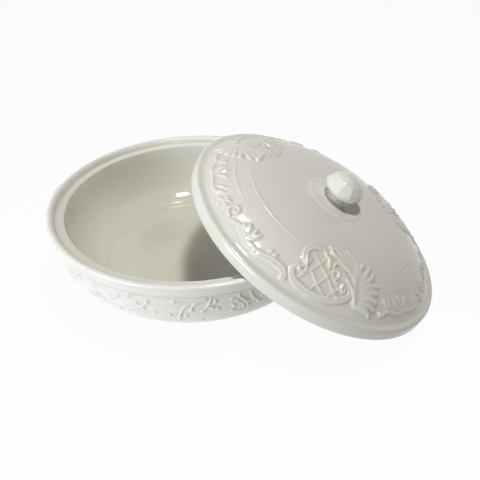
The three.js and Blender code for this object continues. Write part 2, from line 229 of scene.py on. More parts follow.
def turned_rings(outline: np.ndarray, turning: Turning, carve: Pair) -> Skin:
    """Softens an outline as glaze does, and places rings on it, closer where it bends.

    The step between rings is the square root of 8 times the tolerance times the bending radius,
    held between the least and the most step, and the relief step where ornament goes.

    Args:
        outline: (radius, height) rows from the axis round to the axis.
        turning: spacing and softening.
        carve: first and last distance along the outline that carry ornament.

    Returns:
        A skin without heights.
    """
    fine = turning.sampling
    total = lengths_along(outline)[-1]
    dense = at_lengths(outline, np.linspace(0, total, int(total / fine)))
    soft = blurred(dense, int(2 * (turning.softening / fine) ** 2), 0, closed=False)
    soft[[0, -1], 0] = 0.0
    along = lengths_along(soft)
    heading = np.gradient(soft, along, axis=0)
    heading /= np.linalg.norm(heading, axis=1, keepdims=True)
    bend = np.linalg.norm(np.gradient(heading, along, axis=0), axis=1)
    bend = np.maximum(blurred(bend, turning.bend_passes, 0, closed=False), 1e-6)
    step = np.sqrt(8 * turning.tolerance / bend)
    step = np.clip(step, turning.least_step, turning.most_step)
    before = along / along[-1] * total
    marked = (before >= carve[0]) & (before <= carve[1])
    step[marked] = turning.relief_step
    count_up = np.concatenate(([0.0], np.cumsum(np.diff(along) / step[1:])))
    number = int(round(count_up[-1]))
    places = np.interp(np.linspace(0, count_up[-1], number + 1), count_up, along)
    rings = at_lengths(soft, places)
    outward, upward = np.interp(places, along, heading[:, 1]), -np.interp(places, along, heading[:, 0])
    normals = np.column_stack((outward, upward))
    normals /= np.linalg.norm(normals, axis=1, keepdims=True)
    carved = np.interp(places, along, marked.astype(float)) > 0.5
    rings[[0, -1], 0] = 0.0
    flat = np.zeros((int(carved.sum()), turning.relief_columns))
    return Skin(rings, normals, carved, flat, 0.0, turning)


def zones_of(skin: Skin) -> list[tuple[np.ndarray, bool]]:
    """Runs of rings with the same number of columns, leaving out the two on the axis."""
    inner = np.arange(1, len(skin.rings) - 1)
    breaks = np.flatnonzero(np.diff(skin.carved[inner].astype(int))) + 1
    return [(run, bool(skin.carved[run[0]])) for run in np.split(inner, breaks)]


def ring_faces(first: np.ndarray, second: np.ndarray) -> tuple[np.ndarray, np.ndarray]:
    """Faces between two rings of point numbers, where one may have three times the columns.

    Equal rings are joined by four-sided faces. Otherwise each coarse step and its three fine
    steps are filled with four triangles.

    Args:
        first: point numbers of the ring that the profile meets first.
        second: point numbers of the next ring.

    Returns:
        Four-sided faces and three-sided faces, facing out.
    """
    if len(first) == len(second):
        quads = np.stack((first, np.roll(first, -1), np.roll(second, -1), second), axis=1)
        return quads, np.zeros((0, 3), int)
    flip = len(first) > len(second)
    coarse, fine = (second, first) if flip else (first, second)
    here, there = coarse, np.roll(coarse, -1)
    a, b, c, d = fine[0::3], fine[1::3], fine[2::3], np.roll(fine, -3)[0::3]
    tris = np.concatenate([
        np.stack((here, b, a), axis=1),
        np.stack((here, there, b), axis=1),
        np.stack((there, c, b), axis=1),
        np.stack((there, d, c), axis=1),
    ])
    return np.zeros((0, 4), int), tris[:, ::-1] if flip else tris


def skin_faces(skin: Skin) -> tuple[np.ndarray, np.ndarray, np.ndarray]:
    """Points and faces of a turned skin.

    A point is (radius * cos a, radius * sin a, height) plus its ornament's height along the
    profile's normal. The first and the last point close the skin on the axis.

    Returns:
        Points in millimetres, four-sided faces and three-sided faces.
    """
    points, quads, tris = [np.array([[0.0, 0.0, skin.rings[0, 1]]])], [], []
    heights = skin.on_all_rings(skin.heights)
    offset, last = 1, None
    for run, carved in zones_of(skin):
        count = skin.columns_of(carved)
        turn = skin.angles_of(carved)
        up = heights[run] if carved else np.zeros((len(run), count))
        radius = skin.rings[run, :1] + skin.normals[run, :1] * up
        z = skin.rings[run, 1:] + skin.normals[run, 1:] * up
        points.append(np.stack((radius * np.cos(turn), radius * np.sin(turn), z), axis=2).reshape(-1, 3))
        numbers = offset + np.arange(len(run) * count).reshape(len(run), count)
        if last is None:
            first = np.zeros(count, int)
            tris.append(np.stack((first, np.roll(numbers[0], -1), numbers[0]), axis=1))
        else:
            joined, filled = ring_faces(last, numbers[0])
            quads.append(joined)
            tris.append(filled)
        low, high = numbers[:-1], numbers[1:]
        around = [low, np.roll(low, -1, axis=1), np.roll(high, -1, axis=1), high]
        quads.append(np.stack(around, axis=2).reshape(-1, 4))
        offset += numbers.size
        last = numbers[-1]
    tip = np.full(len(last), offset)
    tris.append(np.stack((last, np.roll(last, -1), tip), axis=1))
    points.append(np.array([[0.0, 0.0, skin.rings[-1, 1]]]))
    return np.concatenate(points), np.concatenate(quads), np.concatenate(tris)


def skin_values(skin: Skin, carved_values: np.ndarray) -> np.ndarray:
    """One value a point of a skin, from values on its carved rings, and nought elsewhere."""
    values = [np.zeros(1)]
    rows = skin.on_all_rings(carved_values)
    for run, carved in zones_of(skin):
        values.append(rows[run].ravel() if carved else np.zeros(len(run) * skin.turning.columns))
    return np.concatenate([*values, np.zeros(1)])


def mesh_object(
    name: str, points: np.ndarray, quads: np.ndarray, tris: np.ndarray, material: bpy.types.Material
) -> bpy.types.Object:
    """A smooth-shaded object on the world's origin.

    Args:
        name: name of the object and its mesh.
        points: places in millimetres.
        quads: four-sided faces that point out.
        tris: three-sided faces that point out.
        material: what it is made of.

    Returns:
        The object, linked to the scene.
    """
    mesh = bpy.data.meshes.new(name)
    mesh.vertices.add(len(points))
    mesh.vertices.foreach_set("co", (points * MM).astype(np.float32).ravel())
    corners = np.concatenate((quads.ravel(), tris.ravel())).astype(np.int32)
    starts = np.concatenate((np.arange(len(quads)) * 4, quads.size + np.arange(len(tris)) * 3))
    mesh.loops.add(len(corners))
    mesh.loops.foreach_set("vertex_index", corners)
    mesh.polygons.add(len(starts))
    mesh.polygons.foreach_set("loop_start", starts.astype(np.int32))
    mesh.polygons.foreach_set("use_smooth", np.ones(len(starts), bool))
    mesh.update(calc_edges=True)
    mesh.validate()
    mesh.materials.append(material)
    piece = bpy.data.objects.new(name, mesh)
    bpy.context.scene.collection.objects.link(piece)
    return piece


def store(piece: bpy.types.Object, name: str, values: np.ndarray) -> None:
    """Keeps one number a point on a piece, for its material to read."""
    attribute = piece.data.attributes.new(name, "FLOAT", "POINT")
    attribute.data.foreach_set("value", values.astype(np.float32))


def add_node(
    tree: bpy.types.NodeTree, kind: str, settings: dict | None = None, inputs: dict | None = None
) -> bpy.types.Node:
    """Adds a shader node, sets its properties, and sets or links its inputs.

    Args:
        tree: the material's or world's node tree.
        kind: the node's type name.
        settings: property names and values.
        inputs: input names or numbers, each with a value or with an output to link from.

    Returns:
        The new node.
    """
    node = tree.nodes.new(kind)
    for key, value in (settings or {}).items():
        setattr(node, key, value)
    for key, value in (inputs or {}).items():
        if isinstance(value, bpy.types.NodeSocket):
            tree.links.new(value, node.inputs[key])
        else:
            node.inputs[key].default_value = value
    return node


def mapped(
    tree: bpy.types.NodeTree, value: bpy.types.NodeSocket, source: Pair, target: Pair
) -> bpy.types.NodeSocket:
    """Maps a value evenly from one pair of limits to another, and holds it between them."""
    limits = {"From Min": source[0], "From Max": source[1], "To Min": target[0], "To Max": target[1]}
    return add_node(tree, "ShaderNodeMapRange", inputs={"Value": value, **limits}).outputs["Result"]


def noise(
    tree: bpy.types.NodeTree, place: bpy.types.NodeSocket, size_mm: float, detail: float
) -> bpy.types.NodeSocket:
    """Soft noise from nought to one, with waves of about a size in millimetres."""
    inputs = {"Vector": place, "Scale": 1 / (size_mm * MM), "Detail": detail}
    return add_node(tree, "ShaderNodeTexNoise", inputs=inputs).outputs["Fac"]


def empty_material(name: str) -> bpy.types.Material:
    """A material with nothing in its node tree."""
    material = bpy.data.materials.new(name)
    material.use_nodes = True
    material.node_tree.nodes.clear()
    return material


class Section(Enum):
    """Cross-section of a raised stroke, over its share q of the half width."""

    ROUND = "round"
    SCROLL = "scroll"
    BED = "bed"

    def rise(self, q: np.ndarray) -> np.ndarray:
        """Height at a share q, from 1 in the middle to 0 at the edge.

        ROUND is (1 - q^2)^0.75. SCROLL is a low flat of 0.5 with a rib at q = 0.66 on each side.
        BED is flat to half way out and then falls smoothly.
        """
        if self is Section.SCROLL:
            return np.maximum(0.5 * (1 - q**6), np.exp(-(((q - 0.66) / 0.24) ** 2)) * (1 - q**8))
        if self is Section.BED:
            edge = np.clip((1 - q) / 0.5, 0, 1)
            return edge**2 * (3 - 2 * edge)
        return (1 - q**2) ** 0.75


def smooth_line(points: np.ndarray, spacing: float = 0.8, samples: int = 12) -> np.ndarray:
    """A Catmull-Rom curve through points, drawn again at an even spacing in millimetres."""
    if len(points) > 2:
        ends = np.vstack((2 * points[0] - points[1], points, 2 * points[-1] - points[-2]))
        t = np.linspace(0, 1, samples, endpoint=False)[None, :, None]
        a, b, c, d = ends[:-3, None], ends[1:-2, None], ends[2:-1, None], ends[3:, None]
        square, cube = 2 * a - 5 * b + 4 * c - d, 3 * b - a - 3 * c + d
        line = 0.5 * (2 * b + (c - a) * t + square * t**2 + cube * t**3)
        points = np.vstack((line.reshape(-1, 2), points[-1]))
    total = lengths_along(points)[-1]
    return at_lengths(points, np.linspace(0, total, max(3, int(total / spacing) + 1)))


def polar(*places: Point) -> Path:
    """Points (across, outward) from pairs of degrees and radius."""
    return tuple((r * math.sin(math.radians(a)), r * math.cos(math.radians(a))) for a, r in places)


@dataclass(frozen=True)
class Stroke:
    """One raised stroke: a smooth line with a half width and a height that change along it."""

    path: Path
    half_width: Shares
    height: Shares
    section: Section = Section.ROUND
    margin: float = 0.1

    def over(self, x: np.ndarray, y: np.ndarray) -> np.ndarray:
        """Height of the stroke at points, from the nearest piece of its line.

        It is height * section(distance / half width).

        Args:
            x: across, in millimetres.
            y: outward or upward, in millimetres.

        Returns:
            Heights in millimetres, nought away from the stroke.
        """
        line = smooth_line(np.array(self.path, float))
        share = np.linspace(0, 1, len(line))
        half = np.interp(share, np.linspace(0, 1, len(self.half_width)), self.half_width)
        tall = np.interp(share, np.linspace(0, 1, len(self.height)), self.height)
        reach = half.max() + self.margin
        low, high = line.min(axis=0) - reach, line.max(axis=0) + reach
        near = (x > low[0]) & (x < high[0]) & (y > low[1]) & (y < high[1])
        out = np.zeros(x.shape)
        start, step = line[:-1], np.diff(line, axis=0)
        from_x, from_y = x[near][:, None] - start[:, 0], y[near][:, None] - start[:, 1]
        t = np.clip((from_x * step[:, 0] + from_y * step[:, 1]) / (step**2).sum(axis=1), 0, 1)
        gap = np.hypot(from_x - t * step[:, 0], from_y - t * step[:, 1])
        q = gap / (half[:-1] + np.diff(half) * t)
        best = q.argmin(axis=1)
        rows = np.arange(len(best))
        rise = tall[best] + np.diff(tall)[best] * t[rows, best]
        out[near] = rise * self.section.rise(np.minimum(q[rows, best], 1.0))
        return out


@dataclass
class Ornament:
    """Raised work in two layers: the higher of the ground strokes, plus the higher of the top ones."""

    ground: list[Stroke] = field(default_factory=list)
    top: list[Stroke] = field(default_factory=list)

    def over(self, x: np.ndarray, y: np.ndarray) -> np.ndarray:
        """Height of the ornament at points, in millimetres."""
        layers = [np.zeros(x.shape), np.zeros(x.shape)]
        for layer, strokes in zip(layers, (self.ground, self.top)):
            for stroke in strokes:
                np.maximum(layer, stroke.over(x, y), out=layer)
        return layers[0] + layers[1]

    def under(
        self, path: Path, half: Shares, height: Shares, section: Section = Section.ROUND
    ) -> None:
        """Adds a stroke to the ground layer."""
        self.ground.append(Stroke(path, half, height, section))

    def upon(self, path: Path, half: Shares, height: Shares) -> None:
        """Adds a round stroke to the top layer."""
        self.top.append(Stroke(path, half, height))

    def line(self, half: float, height: float, *path: Point) -> None:
        """Adds an even round stroke to the top layer."""
        self.upon(path, (half,), (height,))

    def bead(self, place: Point, radius: float, height: float, length: float = 0.1) -> None:
        """Adds a round bead to the ground layer."""
        self.under((place, (place[0] + length, place[1])), (radius,), (height,))

    def fingers(
        self, paths: tuple[Path, ...], half: float, height: float, bed: float, bed_margin: float = 0.9
    ) -> None:
        """Adds leaf fingers side by side: each a round rib over a lower and wider bed.

        Args:
            paths: one line a finger, from its root to its tip.
            half: half width of a rib where it is widest.
            height: height of a rib over its bed.
            bed: height of the bed.
            bed_margin: how far the bed reaches past the rib on each side.
        """
        widths = half * np.array((0.45, 0.85, 1.0, 0.75))
        beds = (bed * 0.8, bed, bed, bed)
        rises = (height * 0.3, height * 0.8, height, height * 0.9)
        for path in paths:
            self.under(path, tuple(widths + bed_margin), beds, Section.BED)
            self.upon(path, tuple(widths), rises)


@dataclass(frozen=True)
class LidOrnament:
    """A third of the lid's ornament, in (across, outward) millimetres about a cartouche's middle.

    A scrolled cartouche filled with a trellis, a plume of leaf fingers on its right, a garland of
    leaves with a rosette and a curl, and a stem that ends beside the next cartouche.
    """

    scroll_height: float = 1.9
    trellis_height: float = 0.8
    line_height: float = 0.6
    ray_height: float = 0.3
    line_half_width: float = 0.8

    def cartouche(self, work: Ornament) -> None:
        """The two C scrolls, their curled ends and the trellis between them."""
        tall = self.scroll_height
        upper = (
            (-12.6, 87.4), (-15.2, 83.5), (-15.4, 79), (-13.4, 74.8), (-9.5, 72), (-5, 70.8),
            (-2, 71.4), (-0.2, 74),
        )
        lower = (
            (-14.2, 90.6), (-18, 91.2), (-20.3, 94), (-20, 97.8), (-16.5, 101.3), (-9.5, 103.8), (0, 104.7),
            (9, 103.4), (16.5, 100.3), (22.4, 96.6), (25.2, 92.8), (24.2, 89.4), (21.4, 87.6), (18.2, 88.6),
        )
        for path, half, start in (
            (upper, (1.6, 2.3, 2.3, 2.3, 1.8, 1.2), 0.8),
            (lower, (1.4, 2.3, 2.4, 2.3, 2.3, 2.1, 1.6), 0.85),
        ):
            work.under(path, half, (tall * start, tall, tall * 0.9), Section.SCROLL)
        work.under(((2.2, 74.2), (3.2, 78.6), (4.6, 82.0)), (0.8, 1.9, 1.2), (1.4, 2.3, 1.5))
        work.line(1.0, 1.2, (-12.9, 81.5), (-12.8, 84.6), (-11.2, 85.8), (-9.9, 84.5), (-10.7, 83.2))
        work.line(1.1, 1.3, (-12.6, 88.2), (-11.0, 90.3), (-11.8, 92.8), (-14.0, 94.0), (-16.2, 93.4))
        work.bead((-16.2, 92.7), 1.5, 1.6)
        work.line(1.1, 1.3, (18.0, 89.0), (17.5, 91.3), (19.2, 92.9), (21.2, 91.9), (20.4, 90.5))
        for path in (
            ((-10.5, 75), (-3, 83), (4, 88.5), (14, 97.2)), ((-8.5, 89.5), (-1, 96.5), (6.5, 101.5)),
            ((1.2, 75), (-2.5, 82.5), (-7.5, 90), (-14.5, 98.2)), ((6.3, 85.5), (3, 92.5), (-4, 102)),
            ((17.5, 91), (14, 95.5), (9.3, 101.5)), ((13.5, 97), (17.5, 99)),
        ):
            work.line(self.line_half_width, self.trellis_height, *path)

    def plume(self, work: Ornament) -> None:
        """The leaf that springs from the cartouche's right: a spine, fingers, and curls at its foot."""
        work.fingers((
            ((24.8, 79), (18, 74.5), (11, 72.6), (5, 70), (1.4, 65.2)),
            ((24.3, 76.5), (17.5, 71.6), (12, 68.6), (7.5, 65), (4.6, 64.4)),
            ((23.8, 74), (18.5, 69.4), (14, 65.8), (10.2, 62.0), (8.2, 61.8)),
            ((23.2, 72), (20, 67), (17.2, 63.6), (15.4, 60.8)),
            ((22.8, 69), (21.2, 66), (20.4, 63.2)),
        ), half=1.9, height=0.85, bed=0.85)
        work.fingers((
            ((27, 83), (26.8, 76), (25.0, 70), (23.8, 66.4)),
            ((28.2, 83), (28.8, 75), (28.2, 69), (29.6, 65), (32.2, 63.6)),
            ((29.4, 83.5), (31.6, 76), (33.8, 70), (35.0, 65.6), (35.6, 62.8)),
            ((30.4, 85), (33.6, 78.4), (37.4, 73), (39.4, 69.4), (39.4, 67)),
            ((31, 87), (35.4, 81), (40.6, 76), (45.2, 73.0)),
            ((31.7, 89.5), (36.9, 84.4), (42, 80.3), (46.4, 78.2)),
            ((32, 91.7), (37.3, 87.6), (42.5, 84.8), (47.4, 84.2)),
            ((32, 93.8), (37.7, 91.0), (43, 89.4), (46.8, 89.6)),
            ((31.6, 96.3), (37.5, 94.6), (42.0, 94.0), (45.0, 95.0)),
        ), half=2.2, height=0.85, bed=1.0)
        spine = ((30.4, 94), (28.6, 88.6), (26.4, 82.6), (24.5, 77), (23.2, 71), (22.4, 66))
        work.under(spine, (3.0, 3.2, 3.0, 2.5), (1.3, 1.2, 1.0), Section.BED)
        work.upon(spine, (1.8, 1.5, 1.1, 0.8), (0.05, 0.3, 0.45, 0.4, 0.3))
        work.under(((13, 82.5), (19, 82.0), (26, 88)), (2.4, 3.0, 3.2), (0.7, 0.9, 0.9), Section.BED)
        arch = ((7.3, 79.8), (8.3, 77), (11.5, 75.4), (15, 75.4), (19, 76.8), (22.5, 79.4))
        work.upon(arch, (1.0, 1.4, 1.3, 0.9), (1.7, 2.0, 1.5, 0.6))
        border = ((15.5, 83.6), (20, 84.2), (25, 87), (28.5, 91), (29.8, 95.5))
        work.upon(border, (1.0, 1.5, 1.5), (0.6, 0.85, 0.8, 0.1))
        work.line(1.4, 0.8, (8.8, 87), (8.2, 84), (10.2, 81.9), (12.8, 82.8), (13.2, 85.2))
        work.line(1.3, 0.7, (13.6, 85.2), (12.0, 86.6), (11.0, 88.6), (12.8, 90), (15.2, 89.2))

    def garland(self, work: Ornament) -> None:
        """The run of leaves on a stem, the rosette and the curl, in degrees and radius."""
        for paths, half in (
            ((
                polar((37.4, 101.5), (36.0, 98.4), (34.9, 95.4)),
                polar((38.2, 101.5), (38.0, 98.6), (37.8, 95.8)),
            ), 1.4),
            ((
                polar((44.4, 102.2), (42.8, 98.8), (41.6, 95.6)),
                polar((46.0, 101.8), (45.5, 98.0), (45.1, 94.4)),
                polar((47.5, 102.2), (48.5, 98.8), (49.8, 95.8)),
            ), 1.5),
            ((polar((55.0, 103), (56.2, 100), (57.3, 97.6)), polar((58.2, 102.5), (60.0, 100))), 1.5),
        ):
            work.fingers(paths, half, height=0.65, bed=0.6)
        work.line(0.9, 0.9, *polar((33.2, 104.6), (34.0, 102.2), (35.6, 101.4), (36.6, 102.8)))
        stem = polar(
            (32.5, 104.6), (36, 102.6), (40, 103.6), (44, 104.4), (48, 103.4), (52, 104.4), (56, 104.6),
            (60, 103.0),
        )
        work.under(stem, (1.1, 1.3, 1.3, 1.2, 1.1), (1.2,))
        work.bead(polar((31.5, 103.6))[0], 1.9, 2.0)
        middle = polar((65.2, 101.0))[0]
        work.bead(middle, 1.3, 2.1)
        for turn in np.radians(20 + 72 * np.arange(5)):
            outward = np.array((math.cos(turn), math.sin(turn)))
            near, far = (tuple(np.array(middle) + reach * outward) for reach in (1.6, 3.3))
            work.under((near, far), (1.2, 1.9), (1.2, 1.5))
        curl = polar(
            (73.6, 102.6), (70.6, 101.6), (69.6, 98.4), (70.6, 95.6), (72.6, 95.2), (73.8, 97.2),
            (72.6, 98.8), (71.6, 97.8),
        )
        work.under(curl, (1.2, 1.3, 1.2, 1.0), (1.6, 1.7, 1.5))
        work.under(polar((68.6, 103.6), (69.4, 97), (69.8, 93.6)), (1.5, 1.2, 1.0), (1.0, 0.9, 0.6))

    def stem(self, work: Ornament) -> None:
        """The ribbon-like stem that hooks back beside the next cartouche, with its leaves."""
        for paths, half, height, bed in (
            ((
                polar((84.5, 102.4), (82.6, 99.4), (80.6, 98.2)),
                polar((85.0, 101.6), (83.6, 97.6), (82.0, 95.4)),
            ), 1.8, 0.85, 0.8),
            ((
                polar((86.4, 101.6), (86.4, 97.6), (86.0, 94.6)),
                polar((87.2, 101.6), (88.0, 98), (88.6, 95.2)),
            ), 1.5, 0.85, 0.8),
            ((polar((96.6, 98.8), (96.8, 96.6)), polar((98.4, 98.6), (99.4, 96.2))), 1.1, 0.8, 0.6),
        ):
            work.fingers(paths, half, height, bed)
        ribbon = polar((75, 103.8), (78.6, 101.0), (82, 102.4), (86, 104.0), (90, 104.4), (94, 103.4))
        work.under(ribbon, (1.2, 1.6, 1.7, 1.5), (1.4,), Section.SCROLL)
        hooked = polar(
            (88, 103.6), (92.5, 104.0), (97, 102.0), (101.5, 100.8), (105.0, 101.6), (106.9, 104.4)
        )
        work.under(hooked, (1.8, 2.4, 2.6, 2.3), (1.5, 1.7, 1.7), Section.SCROLL)
        work.bead(polar((106.0, 105.3))[0], 1.7, 1.7)
        work.bead(polar((104.2, 101.6))[0], 1.3, 0.9)

    def fine_lines(self, work: Ornament) -> None:
        """Two thin raised rings between the cartouches, and groups of three faint short rays."""
        full = self.line_height
        for radius, first, last in ((76.5, 41, 106), (88.5, 33, 68)):
            path = polar(*[(a, radius) for a in np.linspace(first, last, 14)])
            work.upon(path, (self.line_half_width,), (full * 0.3, full, full, full * 0.3))
        for first, inner, outer in ((54.6, 80.0, 97.0), (69.6, 66.0, 92.0)):
            for ray in range(3):
                path = polar((first + 2.0 * ray, inner), (first + 1.6 * ray, outer))
                work.line(self.line_half_width, self.ray_height, *path)

    def work(self) -> Ornament:
        """The whole third."""
        work = Ornament()
        for part in (self.cartouche, self.plume, self.garland, self.stem, self.fine_lines):
            part(work)
        return work


@dataclass(frozen=True)
class VineOrnament:
    """A third of the bowl's vine, in (along the belly, height) millimetres.

    Branches climb from the foot to the line under the band, with small leaves, berries and curled
    strands. The first branch, at nought, is the one that faces the camera.
    """

    height: float = 1.35
    bead_height: float = 1.5
    leaf_height: float = 1.0
    belly_radius: float = 121.0

    def repeat(self) -> float:
        """Length of a third of the way round the belly."""
        return 2 * math.pi * self.belly_radius / 3

    def sprig(self, work: Ornament, x: float, y: float, way: float, size: float, lean: float) -> None:
        """Adds a small curved twig with a berry at its tip and two leaves from its middle.

        Args:
            work: the ornament to add to.
            x: place of its root along the belly.
            y: height of its root.
            way: 1 to curl to the right, -1 to the left.
            size: length of the twig.
            lean: how far its tip goes down rather than up, as a share of its size.
        """
        tip = (x + way * size * 0.8, y + size * (0.5 - lean))
        middle = (x + way * size * 0.45, y + size * (0.12 - lean * 0.4))
        self.twig(work, (x, y), middle, tip)
        self.leaf(work, middle, (middle[0] - way * 1.2, middle[1] + 4.4))
        self.leaf(work, middle, (middle[0] + way * 4.6, middle[1] - 2.2))
        work.bead(tip, 1.3, 1.1)

    def twig(self, work: Ornament, *path: Point) -> None:
        """Adds a stem that thins towards its end."""
        work.under(path, (0.66, 0.63, 0.56), (self.height, self.height * 0.9, self.height * 0.7))

    def leaf(self, work: Ornament, root: Point, tip: Point) -> None:
        """Adds a small leaf, widest in its middle."""
        work.upon((root, tip), (0.45, 1.15, 0.45), (self.leaf_height,))

    def work(self) -> Ornament:
        """The whole third: two branches, the curled strands beside them and the sprigs between."""
        work = Ornament()
        for path in (
            (
                (-0.8, 33), (-0.6, 37), (-0.4, 41.5), (1.6, 47.5), (4.6, 53.6), (9.4, 56.4), (14.4, 58),
                (24, 61.5),
            ),
            ((14.4, 58.0), (10.6, 54.6), (9.0, 50.6)),
            ((24, 61.5), (22.4, 57.0), (20.1, 52.2), (17.2, 48.6)),
            ((21.4, 55.0), (24.4, 54.4), (26.1, 56.4)),
            ((20.6, 52.6), (24.2, 50.8), (27.8, 49.2)),
            ((1.2, 43.6), (-2.4, 42.0), (-6.5, 43.3)),
            ((-0.2, 41.8), (2.4, 41.6), (4.5, 42.8)),
            (
                (43.0, 62.0), (44.9, 56.6), (49.7, 49.6), (51.5, 43.9), (49.3, 40.3), (43.8, 41.3),
                (39.7, 43.4),
            ),
            ((41.9, 54.0), (46.5, 49.6), (47.6, 45.4), (44.4, 44.0)),
            ((39.6, 57.6), (42.6, 58.2), (47.6, 54.0), (52.4, 49.8)),
            ((52.4, 59.4), (54.7, 53.8), (59.3, 47.4)),
            ((58.4, 60.6), (62.4, 56.0), (67.4, 54.4), (72.6, 58.2)),
            ((-42.0, 61.0), (-38.0, 60.6), (-32.2, 59.2)),
            ((-38.6, 44.2), (-34.7, 46.3), (-27.1, 50.2), (-22.8, 55.1)),
            ((-44.5, 58.1), (-48.4, 54.0), (-52.2, 51.4)),
            ((-34.6, 40.6), (-30.0, 40.8), (-25.2, 41.8), (-18.0, 44.9)),
            ((-66.4, 42.6), (-60.4, 44.8), (-54.0, 43.6), (-47.7, 41.7)),
        ):
            self.twig(work, *path)
        for x, y, radius in (
            (9.0, 49.8, 1.5), (17.0, 47.8, 1.5), (26.4, 57.2, 1.4), (24.2, 50.4, 1.3), (28.2, 48.8, 1.5),
            (-7.0, 43.8, 1.5), (5.0, 43.2, 1.4), (-3.0, 58.4, 1.4), (15.9, 35.8, 1.5), (38.8, 44.2, 1.3),
            (38.4, 57.0, 1.3), (54.7, 53.1, 1.4), (59.8, 46.8, 1.5), (-22.4, 56.0, 1.6),
            (-53.0, 51.0, 1.3), (-65.7, 48.8, 1.5), (-47.0, 41.4, 1.4), (-17.4, 45.4, 1.2),
            (-39.4, 43.2, 1.3),
        ):
            work.bead((x, y), radius, self.bead_height)
        for root, tip in (
            ((-2.4, 58.2), (2.0, 57.2)), ((38.6, 51.8), (40.8, 47.8)), ((-32.0, 55.6), (-29.6, 50.8)),
            ((-37.0, 60.2), (-38.0, 56.6)), ((62.4, 55.4), (61.6, 50.8)), ((66.8, 54.6), (68.6, 59.0)),
            ((-60.4, 44.8), (-62.0, 49.4)), ((-27.1, 50.2), (-25.2, 46.8)),
        ):
            self.leaf(work, root, tip)
        for x, y, way, size, lean in (
            (-78, 43, 1, 14, 0.0), (-62, 59, -1, 11, 0.6), (-78, 57, -1, 12, 0.6), (-92, 44, -1, 14, 0.0),
            (-102, 54, 1, 13, 0.5), (-112, 41, 1, 15, 0.0), (82, 44, 1, 14, 0.1), (96, 57, -1, 13, 0.6),
            (104, 42, 1, 15, 0.0), (118, 56, 1, 14, 0.5),
        ):
            self.sprig(work, x, y, way, size, lean)
        return work


def laid_thrice(third: np.ndarray) -> np.ndarray:
    """Heights on a third of the columns laid three times round, and smoothed once each way."""
    return blurred(blurred(np.tile(third, (1, 3)), 1, 1, closed=True), 1, 0, closed=False)


def pooled_and_shaded(heights: np.ndarray, full: float, passes: int = 6) -> np.ndarray:
    """Where glaze pools and shade is painted beside the ornament: (wide average of the ornament - its own
    height) / full, from 0 to 1.

    Args:
        heights: the ornament's heights, one row a ring.
        full: depth in millimetres at which the pool is full.
        passes: smoothing passes of the wide average, each way.

    Returns:
        The share of thick glaze and painted shade at each point.
    """
    wide = blurred(blurred(heights, passes, 0, closed=False), passes, 1, closed=True)
    return np.clip((wide - heights) / full, 0, 1)


